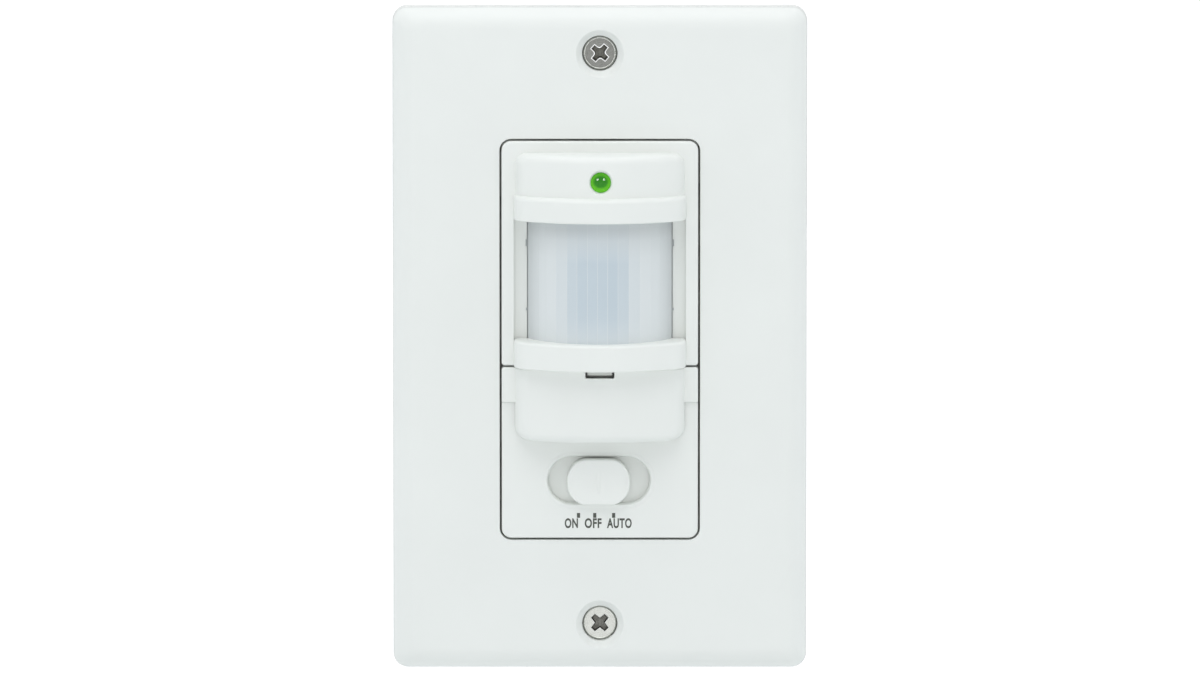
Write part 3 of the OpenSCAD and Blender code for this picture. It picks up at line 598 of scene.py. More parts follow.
# The tip: radius, and distance from the end. The head: how far in from its edge, and how far above its
# seat or below its top. The recess: size, and depth below the face.
SCREW_TIP = ((0.7, 0.0), (1.0, 0.1), (1.25, 0.6))
PAN_SEAT = ((0.25, 0), (0.08, 0.07), (0, 0.25))
PAN_TOP = ((0, 0.30), (0.05, 0.17), (0.15, 0.08), (0.29, 0.03),
           (0.33, 0), (0.40, 0), (0.46, 0.03), (0.60, 0.03))
FACE_DROP = 0.03
RECESS = ((1.0, 0.05), (0.93, 0.9), (0.8, 1.0))


def thread_ring(out):
    points = []
    for i in range(SCREW_STEPS):
        a = 2 * math.pi * i / SCREW_STEPS
        phase = (out / THREAD_PITCH + i / SCREW_STEPS) % 1.0
        r = SHANK_R - THREAD_DEPTH * abs(2 * phase - 1)
        points.append(spot(r * math.cos(a), r * math.sin(a), out))
    return points


def add_shank(bm, end):
    """The tip and the thread, up to the seat. Returns the last row of vertices."""
    tip = [level(circle(0, 0, r, SCREW_STEPS), end + d) for r, d in SCREW_TIP]
    low = end + THREAD_START
    steps = int((SEAT - low) / THREAD_PITCH * RINGS_PER_TURN)
    rows = loft(bm, tip + [thread_ring(low + (SEAT - low) * i / steps) for i in range(steps + 1)])
    fill(bm, rows[0])
    return rows[-1]


def make_screw(name, node, shape):
    box = measure(node)
    head_r = (box.right - box.left) / 2
    face = box.front - FACE_DROP
    bm = bmesh.new()
    neck = add_shank(bm, box.back)
    pan = [(SHANK_R, SEAT)] + [(head_r - inset, SEAT + rise) for inset, rise in PAN_SEAT]
    pan += [(head_r - inset, box.front - drop) for inset, drop in PAN_TOP]
    head = loft(bm, [level(circle(0, 0, r, SCREW_STEPS), out) for r, out in pan])
    bridge(bm, neck, head[0])
    steel_faces = len(bm.faces)
    rings = [level(cross(shape, grow=shape.chamfer), face)]
    recess = loft(bm, rings + [level(cross(shape, size), face - drop) for size, drop in RECESS])
    fill(bm, recess[-1])
    # The chamfer gets the painted highlight, and the recess walls and floor get the painted shade
    for i, wall in enumerate(bm.faces):
        if i >= steel_faces:
            wall.material_index = 1 if i < steel_faces + len(recess[0]) else 2
    fill(bm, head[-1], recess[0])
    made = to_object(name, bm, SCREW_SHARP)
    made.location = spot(0, box.up, 0)
    return made


upper_screw = make_screw("upper_plate_screw", "plate_screw_top", UPPER_CROSS)
lower_screw = make_screw("lower_plate_screw", "plate_screw_bottom", LOWER_CROSS)
print("screws", SCREW_SPACING, "mm apart")

# %% [markdown]
# A turned head shows fine circles. A wave texture in rings round the screw's own axis gives them, once as a
# slight change of tint and once as a bump. The head's bright and dark lines are a ramp over the distance from
# the axis. The bright line is a painted highlight, and the dark line and the rim, which darkens towards its
# edge, are painted shade. The upper screw is dull and the lower one bright, and the recess of both is painted
# dark, as painted shade for the little light that comes back out of it.

# %% Turned steel
screw_box = measure("plate_screw_top")
HEAD_R = (screw_box.right - screw_box.left) / 2
TURNING_SCALE = 900
TURNING_WOBBLE = 1.5
CLOUD_SCALE = 3200


def axis_share(tree, half_w, half_h, rise=0.0):
    """The distance from a spot above the piece's own axis, as a share of an oval's half sizes."""
    shares = {1: (1 / (half_w * MM), 0, 1 / (half_h * MM)), 2: (0, 0, -rise / half_h)}
    oval = add_node(tree, "VectorMath", {0: own_place(tree)}, shares, operation="MULTIPLY_ADD")
    return add_node(tree, "VectorMath", {0: oval.outputs[0]}, operation="LENGTH").outputs["Value"]


def fine_rings(tree, scale, wobble=0.0):
    """Fine rings round the piece's own axis, which points out from the wall."""
    made = add_node(tree, "TexWave", {"Vector": own_place(tree)}, {"Scale": scale, "Distortion": wobble},
                    wave_type="RINGS", rings_direction="Y")
    return made.outputs["Fac"]


def turned_steel(name, stops, mottle=0.14):
    """Metal with fine circular turning marks round the piece's own axis. The stops give its tint by the
    distance from the axis, as a share of the radius of a plate screw's head."""
    made, tree, bsdf = shader(name)
    bsdf.inputs["Metallic"].default_value = 1.0
    rings = fine_rings(tree, TURNING_SCALE, TURNING_WOBBLE)
    marks = spread(tree, rings, 1 - mottle / 2, 1)
    cloud = spread(tree, noise(tree, CLOUD_SCALE), 1 - mottle, 1)
    tint = ramp(tree, axis_share(tree, HEAD_R, HEAD_R), stops)
    color = times(tree, tint, times(tree, marks, cloud))
    surface(tree, bsdf, color, rough=(0.24, 0.32), patches=800)
    bump(tree, bsdf, rings, strength=0.12, depth_mm=0.01)
    return made


def plain_metal(name, tint, mottle=0.14):
    return turned_steel(name, [(0, tint), (1, tint)], mottle)


def head_tints_with_painted_light(face, dark, line, rim):
    """Grey stops for a head: its face, a dark line of painted shade, the bright turned line as a painted
    highlight, and the rounded rim, with painted shade towards its edge.
    """
    stops = ((0.0, face), (0.78, face), (0.84, dark), (0.865, line),
             (0.89, line), (0.915, rim), (1.0, rim * 0.75))
    return [(place, (grey, grey * 1.02, grey * 0.96)) for place, grey in stops]


def recess_shade_steel(name, middle, outside):
    return turned_steel(name, [(0, middle), (0.6, outside)], mottle=0.4)


upper_tints = head_tints_with_painted_light(face=0.165, dark=0.13, line=0.55, rim=0.46)
lower_tints = head_tints_with_painted_light(face=0.56, dark=0.53, line=0.72, rim=0.5)
dull_steel = turned_steel("dull_steel", upper_tints)
bright_steel = turned_steel("bright_steel", lower_tints, mottle=0.1)
# Painted highlight on the chamfers, painted shade in the recesses
chamfer_highlight_steel = plain_metal("chamfer_highlight_steel", (0.90, 0.91, 0.91), mottle=0.04)
upper_recess_shade = recess_shade_steel("upper_recess_shade", (0.11, 0.11, 0.10), (0.075, 0.073, 0.062))
lower_recess_shade = recess_shade_steel("lower_recess_shade", (0.19, 0.19, 0.175), (0.12, 0.118, 0.105))
finish_piece(upper_screw, [dull_steel, chamfer_highlight_steel, upper_recess_shade], BASE, "steel", "plate_screw_top")
finish_piece(lower_screw, [bright_steel, chamfer_highlight_steel, lower_recess_shade], BASE, "steel", "plate_screw_bottom")

# %% [markdown]
# The upper front moulding is one piece on the real switch: a frame, a hood over the lens and a band under
# it. Hood and band bulge forward in the same curve, a wide arc that runs into two corner arcs. So they are
# lofts of one outline seen from above, stacked along the height. Drawing the outline in a little at each
# end of the stack gives the rounded edges, and along the hood's top also the rounded corners.

# %% Bulging outlines
BULGE_BACK = 5.9
BULGE_CORNER_STEPS = 8
BULGE_FRONT_STEPS = 24
BLOCK_HALF = 14.5
BLOCK_FRONT_R = 22
BLOCK_CORNER_R = 5


def bulge(half, front, front_r, corner_r, back=BULGE_BACK):
    """An outline seen from above, as (across, out) points from the right back round to the left back."""
    arc_out = front - front_r
    corner_x = half - corner_r
    corner_out = arc_out + math.sqrt((front_r - corner_r) ** 2 - corner_x ** 2)
    meet = math.atan2(corner_out - arc_out, corner_x)
    start = math.asin(max(0.0, min(1.0, (back - corner_out) / corner_r)))
    first = start + (meet - start) / (BULGE_CORNER_STEPS + 1) if start > 0 else 0.0
    right = [(corner_x + corner_r * math.cos(start), back)]
    for i in range(BULGE_CORNER_STEPS + 1):
        a = first + (meet - first) * i / BULGE_CORNER_STEPS
        right.append((corner_x + corner_r * math.cos(a), corner_out + corner_r * math.sin(a)))
    middle = []
    for i in range(1, BULGE_FRONT_STEPS):
        a = meet + (math.pi - 2 * meet) * i / BULGE_FRONT_STEPS
        middle.append((front_r * math.cos(a), arc_out + front_r * math.sin(a)))
    left = [(-x, out) for x, out in reversed(right)]
    return right + middle + left


def shelf(outline, up):
    """An outline seen from above, lifted to its height."""
    return [spot(x, up, out) for x, out in outline]


def block(half, front, up):
    """The bulging ring of hood and band at a height."""
    return shelf(bulge(half, front, BLOCK_FRONT_R, BLOCK_CORNER_R), up)


def drawn_in(edge, over):
    """How far a rounded edge draws the front in, at a distance over the start of its round."""
    share = min(max(over / edge, 0.0), 1.0)
    return edge * (1 - math.sqrt(1 - share * share))


print("outline points", len(block(BLOCK_HALF, bezel.front, 0)))

# %% [markdown]
# The hood has a lip along its lower edge that stands forward of the rest. In the photograph the top of
# the lip and the top of the hood are the two bright bands, so both get a rounded edge that turns up to
# the light. The band under the lens has the same lower edge, and its top falls a little to the front.

# %% Hood and band
HOOD_HALF = 14.3
HOOD_FRONT = 13.8
HOOD_TOP = 31.8
HOOD_CORNER = 2.0
HOOD_EDGE = 1.3
HOOD_BOTTOM = 20.58
LIP_TOP = 24.7
LIP_EDGE = 0.75
# The fillet over the lip: how far it stands proud of the hood, and how high it lies over the lip
LIP_FILLET = ((0.15, 0.02), (0.04, 0.07), (0, 0.2))
LOWER_EDGE = 0.25
BAND_TOP = 0.0
BAND_FALL = 0.03
BAND_EDGE = 0.5
BAND_LOW = -4.45


def lower_edge(up):
    """The rounded lower edge of hood or band."""
    rings = []
    for s, c in reversed(quarter()):
        inset = LOWER_EDGE * (1 - c)
        rings.append(block(BLOCK_HALF - inset, bezel.front - inset, up + LOWER_EDGE * (1 - s)))
    return rings


def add_hood(bm):
    rings = lower_edge(HOOD_BOTTOM)
    for s, c in quarter():
        half = BLOCK_HALF - (BLOCK_HALF - HOOD_HALF) * (1 - c)
        rings.append(block(half, bezel.front - LIP_EDGE * (1 - c), LIP_TOP - LIP_EDGE * (1 - s)))
    for proud, over in LIP_FILLET:
        rings.append(block(HOOD_HALF, HOOD_FRONT + proud, LIP_TOP + over))
    for s, c in quarter(12):
        up = HOOD_TOP - HOOD_CORNER * (1 - s)
        front = HOOD_FRONT - drawn_in(HOOD_EDGE, up - HOOD_TOP + HOOD_EDGE)
        rings.append(block(HOOD_HALF - HOOD_CORNER * (1 - c), front, up))
    closed_loft(bm, rings)


def add_band(bm):
    rings = lower_edge(BAND_LOW)
    for s, c in quarter():
        inset = BAND_EDGE * (1 - c)
        ring = block(BLOCK_HALF - inset, bezel.front - inset, BAND_TOP - BAND_EDGE * (1 - s))
        rings.append([p + Vector((0, 0, BAND_FALL * (p.y + bezel.front * MM))) for p in ring])
    closed_loft(bm, rings)


print("hood", round(HOOD_TOP - HOOD_BOTTOM, 2), "mm high, band", round(BAND_TOP - BAND_LOW, 2), "mm")

# %% [markdown]
# The frame round it all is an open-backed tray with a recess for the lens. The lens looks out through a
# window with small notches at its sides, where clips hold it. A latch tongue hangs down under the band and
# shows in the notch of the door.

# %% Frame and latch tongue
FRAME_LOW = -4.31
FRAME_FACE = 6.7
FRAME_EDGE = 0.4
FRAME_WALL = 1.5
FRAME_CORNERS = (0.55, 1.6, 1.6, 0.55)
FRAME_LEAST_R = 0.2
STRIP_FACE = 5.6
RECESS_LOW = -1.0
RECESS_HIGH = 21.4
LENS_HALF = 12.1
LENS_GAP = 0.17
# The window's right side: height, and depth of the clip notches
WINDOW_SIDE = ((-0.9, 0), (4.9, 0), (4.9, 0.2), (5.4, 0.2), (5.4, 0),
               (15.8, 0), (15.8, 0.25), (17.0, 0.25), (17.0, 0), (21.3, 0))
TONGUE_HALF = 2.1
TONGUE_LOW = -5.53
TONGUE_TOP = BAND_LOW + 0.3
TONGUE_R = 0.12
# The tongue's rings: how far drawn in, and distance from the wall
TONGUE_RINGS = ((0, 10.1), (0, 10.6), (0.1, 10.7))


def add_tray(bm, outline, back, edge, face):
    """An open-backed moulding. Returns the rows of vertices round its face and round its hollow's floor."""
    outer = loft(bm, [level(outline(0), back)] + eased(outline, edge, face))
    hollow = loft(bm, [level(outline(FRAME_WALL), out) for out in (back, face - FRAME_WALL)])
    bridge(bm, outer[0], hollow[0])
    return outer[-1], hollow[-1]


def frame_outline(inset):
    return rounded_box(bezel.left + inset, bezel.right - inset, FRAME_LOW + inset, bezel.high - inset,
                       [max(r - inset, FRAME_LEAST_R) for r in FRAME_CORNERS])


def window_outline():
    """The lens opening, with the small notches of the clips that hold the lens."""
    side = LENS_HALF + LENS_GAP
    right = [(side + depth, up) for up, depth in WINDOW_SIDE]
    return right + [(-x, up) for x, up in reversed(right)]


def add_frame(bm):
    face, floor = add_tray(bm, frame_outline, bezel.back, FRAME_EDGE, FRAME_FACE)
    recess_box = [(BLOCK_HALF, RECESS_LOW), (BLOCK_HALF, RECESS_HIGH),
                  (-BLOCK_HALF, RECESS_HIGH), (-BLOCK_HALF, RECESS_LOW)]
    recess = loft(bm, [level(recess_box, out) for out in (FRAME_FACE, STRIP_FACE)])
    window = loft(bm, [level(window_outline(), out) for out in (STRIP_FACE, FRAME_FACE - FRAME_WALL)])
    fill(bm, face, recess[0])
    fill(bm, recess[-1], window[0])
    fill(bm, floor, window[-1])


def add_tongue(bm):
    rings = []
    for inset, out in TONGUE_RINGS:
        half = TONGUE_HALF - inset
        rings.append(level(rounded_box(-half, half, TONGUE_LOW + inset, TONGUE_TOP, TONGUE_R, 3), out))
    closed_loft(bm, rings)


print("lens window", 2 * (LENS_HALF + LENS_GAP), "mm wide")

# %% [markdown]
# The status light looks out through a round hole near the top of the hood, with a pale countersink. The
# hood's front is curved, so here a boolean is the easy way: a turned cutter takes the hole out of the
# hood, and the meshes of hood, band, tongue and frame then become one piece.

# %% Upper front moulding
LED_ACROSS = 0.15
LED_UP = 27.48
# The hole and its countersink: radius, and distance from the wall
LED_HOLE = ((1.72, 11.0), (1.72, 13.5), (2.18, 13.84), (2.22, 14.5), (3.2, 20.0))


def carve(target, cutter):
    """Cuts one closed mesh out of another and drops the cutter."""
    cut = target.modifiers.new("cut", "BOOLEAN")
    cut.operation = "DIFFERENCE"
    cut.solver = "EXACT"
    cut.object = cutter
    bpy.context.view_layer.update()
    shaped = bpy.data.meshes.new_from_object(target.evaluated_get(bpy.context.evaluated_depsgraph_get()))
    target.modifiers.remove(cut)
    target.data = shaped
    bpy.data.objects.remove(cutter)
    shaped.shade_smooth()
    shaped.set_sharp_from_angle(angle=SHARP)


def lathe(name, pairs, across, up):
    """A closed turned piece of (radius, out) pairs, with its own origin on its axis."""
    bm = bmesh.new()
    closed_loft(bm, [level(circle(0, 0, r), out) for r, out in pairs])
    made = to_object(name, bm)
    made.location = spot(across, up, 0)
    return made


def join(target, *others):
    """Puts the meshes of other objects into one."""
    bm = bmesh.new()
    bpy.context.view_layer.update()
    for piece in (target, *others):
        mesh = piece.data.copy()
        mesh.transform(piece.matrix_world)
        bm.from_mesh(mesh)
        bpy.data.meshes.remove(mesh)
    bm.to_mesh(target.data)
    bm.free()
    target.location = (0, 0, 0)
    for piece in others:
        bpy.data.objects.remove(piece)
    target.data.set_sharp_from_angle(angle=SHARP)
    return target


def make_bezel():
    bm = bmesh.new()
    add_hood(bm)
    hood = to_object("upper_front", bm)
    carve(hood, lathe("hole", LED_HOLE, LED_ACROSS, LED_UP))
    bm = bmesh.new()
    add_band(bm)
    add_tongue(bm)
    add_frame(bm)
    return join(hood, to_object("frame_and_band", bm))


finish_piece(make_bezel(), [front_white], BASE, "front_plastic", "sensor_bezel")

# %% [markdown]
# The lens is a thin milky sheet of sixteen upright flat strips, bent round the sensor. Each strip is a
# small stepped lens, and fine raised lines part them. One outline seen from above, strip by strip, makes
# the outside, and a smooth arc makes the inside. The faces of the raised lines get a material of their own.

# %% Lens
STRIP_EDGES = (-LENS_HALF, -11.15, -10.2, -8.95, -7.4, -5.55, -3.85, -2.1, -0.4,
               1.3, 3.05, 4.9, 6.75, 8.5, 10.1, 11.3, LENS_HALF)
LENS_R = 13.96
LENS_T = 0.8
LENS_AXIS = lens.front - LENS_R
LENS_SHARP = math.radians(4)
RIDGE_HALF = 0.055
RIDGE_RISE = 0.015
INSIDE_STEPS = 24


def lens_out(across, radius=LENS_R):
    return LENS_AXIS + math.sqrt(max(radius ** 2 - across ** 2, 0.0))


def lens_strips():
    """The strips seen from above, and which of their points start a face of a raised line."""
    points, raised = [], []
    for before, x, after in zip(STRIP_EDGES, STRIP_EDGES[1:], STRIP_EDGES[2:]):
        here = lens_out(x)
        slope_in = (here - lens_out(before)) / (x - before)
        slope_on = (lens_out(after) - here) / (after - x)
        points.append((x - RIDGE_HALF, here - slope_in * RIDGE_HALF))
        points.append((x, here + RIDGE_RISE))
        points.append((x + RIDGE_HALF, here + slope_on * RIDGE_HALF))
        raised += [True, True, False]
    return points, raised


def lens_outline():
    """The whole lens seen from above, and which of its points start a face of a raised line."""
    points, raised = lens_strips()
    foot, flange = lens.back, lens.back + LENS_T
    start = [(lens.left, foot), (lens.left, flange), (-LENS_HALF, flange), (-LENS_HALF, lens_out(LENS_HALF))]
    end = [(LENS_HALF, lens_out(LENS_HALF)), (LENS_HALF, flange), (lens.right, flange), (lens.right, foot)]
    reach = LENS_HALF - LENS_T
    arc = [reach * (1 - 2 * i / INSIDE_STEPS) for i in range(INSIDE_STEPS + 1)]
    inside = [(reach, foot)] + [(x, lens_out(x, LENS_R - LENS_T)) for x in arc] + [(-reach, foot)]
    plain = [False] * len(start)
    return start + points + end + inside, plain + raised + [False] * len(end + inside)


def make_lens():
    outline, raised = lens_outline()
    bm = bmesh.new()
    rows = loft(bm, [shelf(outline, lens.low), shelf(outline, lens.high)])
    for face, is_raised in zip(bm.faces, raised):
        face.material_index = 1 if is_raised else 0
    fill(bm, rows[0])
    fill(bm, rows[-1])
    return to_object("lens_sheet", bm, LENS_SHARP)


lens_sheet = make_lens()
print("lens of", len(STRIP_EDGES) - 1, "strips, radius", LENS_R, "mm")

# %% [markdown]
# The strips in the middle look bluish, because the dark sensor lies right behind them, and that tint fades
# out towards the top and the bottom. So the milky finish has ramps over the piece's own coordinates: how
# bluish each strip is and how that tint changes with the height. A painted shade darkens the pale colour at
# both sides, where the sheet is seen at a slant, and a painted shadow darkens it at the top, under the hood.
# The rings of the tiny lenses are a bump.

# %% Lens finish
PALE = (0.70, 0.735, 0.735)
BLUE = (0.52, 0.595, 0.64)
LINE_PALE = (0.71, 0.745, 0.745)
LINE_BLUE = (0.635, 0.685, 0.70)
MILK_SCALE = 90
LENS_RING_SCALE = 700
# How bluish the strips are, from the strip with this number on
STRIP_TINTS = ((4, 0.25), (5, 0.76), (6, 1.0), (10, 0.76), (11, 0.25), (12, 0.0))
# How the tint, the painted shade at the slanted sides and the painted shadow under the hood change with the
# height, or with the place across, in millimetres
HEIGHT_TINTS = ((0.8, 0.5), (2.5, 0.7), (4.3, 0.93), (6.5, 1.0),
                (13.6, 1.0), (15.3, 0.7), (17.4, 0.4), (19.4, 0.3))
SLANT_SHADE_PAINT = ((-LENS_HALF, 0.84), (-11.0, 0.90), (-9.6, 0.98), (9.6, 0.98), (11.0, 0.91), (LENS_HALF, 0.85))
HOOD_SHADOW_PAINT = ((0.0, 1.0), (14.5, 1.0), (17.5, 0.95), (19.5, 0.82))


def milky(name, pale, blue):
    made, tree, bsdf = shader(name)
    span = 2 * LENS_HALF

    def shade(axis, stops, kind="LINEAR"):
        """A grey ramp over one of the piece's directions, with stops in millimetres."""
        start = -LENS_HALF if axis == "X" else 0.0
        share = spread(tree, own_axis(tree, axis), start=start * MM, end=(start + span) * MM)
        return ramp(tree, share, [((mm - start) / span, (v, v, v)) for mm, v in stops], kind)

    strips = [(-LENS_HALF, 0.0)] + [(STRIP_EDGES[i], tint) for i, tint in STRIP_TINTS]
    tint = times(tree, shade("X", strips, "CONSTANT"), shade("Z", HEIGHT_TINTS))
    cloudy = times(tree, tint, spread(tree, noise(tree, MILK_SCALE), 0.92, 1.0))
    milk = add_node(tree, "Mix", {"Factor": cloudy}, {"A": (*pale, 1), "B": (*blue, 1)}, data_type="RGBA")
    # Painted shade at the slanted sides and a painted shadow under the hood darken the milky colour
    painted_shade = times(tree, shade("X", SLANT_SHADE_PAINT), shade("Z", HOOD_SHADOW_PAINT))
    color = times(tree, milk.outputs["Result"], painted_shade)
    surface(tree, bsdf, color, rough=(0.42, 0.5), patches=400)
    bump(tree, bsdf, fine_rings(tree, LENS_RING_SCALE), strength=0.06, depth_mm=0.01)
    return made


lens_milk = milky("lens_milk", PALE, BLUE)
lens_line = milky("lens_line", LINE_PALE, LINE_BLUE)
finish_piece(lens_sheet, [lens_milk, lens_line], BASE, "lens_plastic", "fresnel_lens")

# %% [markdown]
# The status light is a clear green cap, nearly flat and level with its countersink. Its middle looks darker,
# where the small chip sits behind it, and a brighter ring lies round that. Two ramps give this: one over an
# oval a little above the middle, and one over the height. The height ramp is painted light: a painted shade
# towards the top, so that the ring is brightest at the bottom. The shiny, slightly domed surface picks up the
# two small soft boxes by itself.

# %% Status light
LED_R = 1.7
LED_TOP = 13.9
FLANGE = 0.5
FLANGE_T = 1.0
SHOULDER = 0.18
CAP_R = 7.0
CAP_STEPS = 12
CAP_TIP = 0.05
OVAL_HALF_W = 2.5
OVAL_HALF_H = 2.1
OVAL_RISE = 0.12
# Greens from the middle of the oval to its edge, and painted shade from the foot of the light to its top,
# darker towards the top
GREENS = ((0.0, (0.020, 0.235, 0.001)), (0.40, (0.022, 0.25, 0.001)),
          (0.56, (0.105, 0.50, 0.004)), (1.0, (0.105, 0.50, 0.004)))
GREEN_PAINTED_SHADE = ((0.2, (1, 1, 1)), (0.7, (0.75, 0.85, 0.7)), (1.0, (0.5, 0.66, 0.5)))


def clear_green(name):
    made, tree, bsdf = shader(name)
    core = ramp(tree, axis_share(tree, OVAL_HALF_W, OVAL_HALF_H, OVAL_RISE), GREENS)
    height = spread(tree, own_axis(tree, "Z"), start=-LED_R * MM, end=LED_R * MM)
    # Painted shade: the green darkens towards the top, so the ring is brightest at the bottom
    color = times(tree, core, ramp(tree, height, GREEN_PAINTED_SHADE))
    surface(tree, bsdf, color, rough=(0.02, 0.05), patches=900)
    bsdf.inputs["Specular IOR Level"].default_value = 0.3
    return made


def cap_out(radius):
    return LED_TOP - CAP_R + math.sqrt(CAP_R ** 2 - radius ** 2)


def light_profile():
    """(radius, out) pairs from the flange up the side, over a small shoulder and across the cap."""
    foot = measure("status_led").back
    edge = LED_R - SHOULDER
    pairs = [(LED_R + FLANGE, foot), (LED_R + FLANGE, foot + FLANGE_T), (LED_R, foot + FLANGE_T)]
    pairs += [(edge + SHOULDER * c, cap_out(edge) - SHOULDER * (1 - s)) for s, c in quarter(8)]
    radii = [edge * (1 - i / CAP_STEPS) + CAP_TIP for i in range(1, CAP_STEPS + 1)]
    return pairs + [(r, cap_out(r)) for r in radii]


green_light = lathe("green_light", light_profile(), LED_ACROSS, LED_UP)
finish_piece(green_light, [clear_green("led_plastic")], BASE, "led_green", "status_led")

# %% [markdown]
# The door covers the three dials. It bulges like the band above it, a little less, and its lower edge is
# well rounded. Like the hood, it is a stack of outlines seen from above. Their back edge is flat, but at
# the bottom it runs round the line of the hinge, so that the door can swing without touching the panel.

# %% Door outlines
DOOR_HALF = 14.3
DOOR_FRONT_R = 30
DOOR_CORNER_R = 4
DOOR_LOWER_R = 2.3
DOOR_EDGE = 1.4
DOOR_TOP_EDGE = 0.25
DOOR_TOP = -4.6
DOOR_BOTTOM = -16.9
DOOR_BACK = 6.5
HINGE_UP = -15.4
HINGE_OUT = 8.0
HINGE_R = 1.5


def door_stack(bm, wall, edge, back_at):
    """The door's outlines from the bottom up, drawn in by a wall. Its back edge may change with height."""
    half, front = DOOR_HALF - wall, door.front - wall
    top, low, corner = DOOR_TOP - wall, DOOR_BOTTOM + wall, DOOR_LOWER_R - wall
    rings = []

    def ring(inset, drawn, up):
        outline = bulge(half - inset, front - drawn, DOOR_FRONT_R - wall, DOOR_CORNER_R - wall, back_at(up))
        rings.append(shelf(outline, up))

    for s, c in reversed(quarter(16)):
        up = low + corner * (1 - s)
        ring(corner * (1 - c), drawn_in(edge, low + edge - up), up)
    for s, c in quarter(4):
        inset = DOOR_TOP_EDGE * (1 - c)
        ring(inset, inset, top - DOOR_TOP_EDGE * (1 - s))
    closed_loft(bm, rings)


def barrel_back(up):
    """The door's back edge: flat, and round about the hinge pins at the bottom."""
    if up > HINGE_UP:
        return DOOR_BACK
    return HINGE_OUT - math.sqrt(max(HINGE_R ** 2 - (HINGE_UP - up) ** 2, 0.0))


print("door", 2 * DOOR_HALF, "by", round(DOOR_TOP - DOOR_BOTTOM, 2), "mm")

# %% [markdown]
# The door is hollow: a second, smaller stack of outlines is cut out of the first. Two slots at the bottom
# leave room for the panel's hinge lugs, and a finger notch at the top shows the latch behind. These cuts
# run through curved walls, so booleans are simpler here than rings of points.

# %% Door shell
DOOR_WALL = 1.2
HOLLOW_EDGE = 0.3
HOLLOW_BACK = DOOR_BACK - 1.5
LUG_X = 8.0
LUG_SLOT_R = 1.8
LUG_SLOT_HALF = 1
NOTCH_HALF = 2.45
NOTCH_DEEP = 1.27
NOTCH_OVER = 2
NOTCH_R = 0.2
NOTCH_CUT = (4, 16)


def hinge_arc(radius, turn, steps):
    """(up, out) points round the line of the hinge pins, over a turn that starts at the top."""
    turns = [turn * i / steps for i in range(steps + 1)]
    return [(HINGE_UP + radius * math.cos(a), HINGE_OUT + radius * math.sin(a)) for a in turns]


def hinge_circle(radius):
    return hinge_arc(radius, 2 * math.pi, 40)[:-1]


def across_loft(bm, outline, x0, x1):
    """A side outline of (up, out) points, run across from x0 to x1."""
    closed_loft(bm, [[spot(x, up, out) for up, out in outline] for x in (x0, x1)])


def cutter(outline, out0, out1):
    """A straight block through the front, to cut with."""
    bm = bmesh.new()
    closed_loft(bm, [level(outline, out0), level(outline, out1)])
    return to_object("cutter", bm)


def make_shell():
    bm = bmesh.new()
    door_stack(bm, 0, DOOR_EDGE, barrel_back)
    shell = to_object("dial_door", bm)
    bm = bmesh.new()
    door_stack(bm, DOOR_WALL, HOLLOW_EDGE, lambda up: HOLLOW_BACK)
    carve(shell, to_object("hollow", bm))
    for side in (1, -1):
        bm = bmesh.new()
        slot = [side * (LUG_X + reach) for reach in (-LUG_SLOT_HALF, LUG_SLOT_HALF)]
        across_loft(bm, hinge_circle(LUG_SLOT_R), *slot)
        carve(shell, to_object("lug_slot", bm))
    notch = rounded_box(-NOTCH_HALF, NOTCH_HALF, DOOR_TOP - NOTCH_DEEP, DOOR_TOP + NOTCH_OVER, NOTCH_R, 3)
    carve(shell, cutter(notch, *NOTCH_CUT))
    return shell


door_shell = make_shell()
print("door shell", DOOR_WALL, "mm thick, notch", 2 * NOTCH_HALF, "mm wide")

# %% [markdown]
# The door swings on two short pins near its lower edge. Each pin stands on a rib inside the shell and
# reaches into a lug of the panel. Two thin ears fill the front to both sides of the door. All of them are
# closed lofts that overlap the shell, and they join it as one moulding.

# %% Ears, ribs and pins
LUG_R = 1.45
PIN_R = 0.7
PIN_ENDS = (7.05, 9.1)
RIB_ENDS = (9.0, 10.2)
RIB_TOP_OUT = 9.7
# The front of a rib: height over the door's bottom, and distance from the wall
RIB_FRONT = ((0.6, 8.8), (1.1, 9.6))
EAR_IN = 13.3
EAR_LOW = -10.6
EAR_BACK = 5.7
EAR_EDGE = 0.22
EAR_CORNERS = (0.3, 0.5, 0.05, 0.05)


def add_ear(bm, side):
    def outline(inset):
        right = rounded_box(EAR_IN, door.right - inset, EAR_LOW + inset, DOOR_TOP - inset, EAR_CORNERS)
        return [(side * x, up) for x, up in right]

    closed_loft(bm, [level(outline(0), EAR_BACK)] + eased(outline, EAR_EDGE, FRAME_FACE, 3))


def rib_outline():
    """A rib round the hinge pin that runs forward to the inside of the door."""
    front = [(DOOR_BOTTOM + rise, out) for rise, out in RIB_FRONT]
    return hinge_arc(LUG_R, -math.pi, 20) + front + [(HINGE_UP + LUG_R, RIB_TOP_OUT)]


def make_door():
    bm = bmesh.new()
    for side in (1, -1):
        add_ear(bm, side)
        across_loft(bm, rib_outline(), *[side * x for x in RIB_ENDS])
        across_loft(bm, hinge_circle(PIN_R), *[side * x for x in PIN_ENDS])
    return join(door_shell, to_object("ears_and_pins", bm))


finish_piece(make_door(), [front_white], "control_door", "front_plastic", "control_door")

# %% [markdown]
# The lower front moulding is a flat panel with three round holes for the dials and a long slot for the
# slide switch. The slot has a soft rolled lip, and shallow pockets at the upper corners take the ears of
# the door. It is a tray with the holes left open in the flat fills, front and back. Two lugs hold the
# pins of the door.

# %% Switch panel
PANEL_FACE = 6.2
PANEL_TOP = -4.85
PANEL_EDGE = 0.3
PANEL_CORNERS = (1.6, 0.4, 0.4, 1.6)
PANEL_LEAST_R = 0.1
SLOT_HALF_W = 8.56
SLOT_HALF_H = 3.95
SLOT_ACROSS = -0.14
SLOT_STEPS = 48
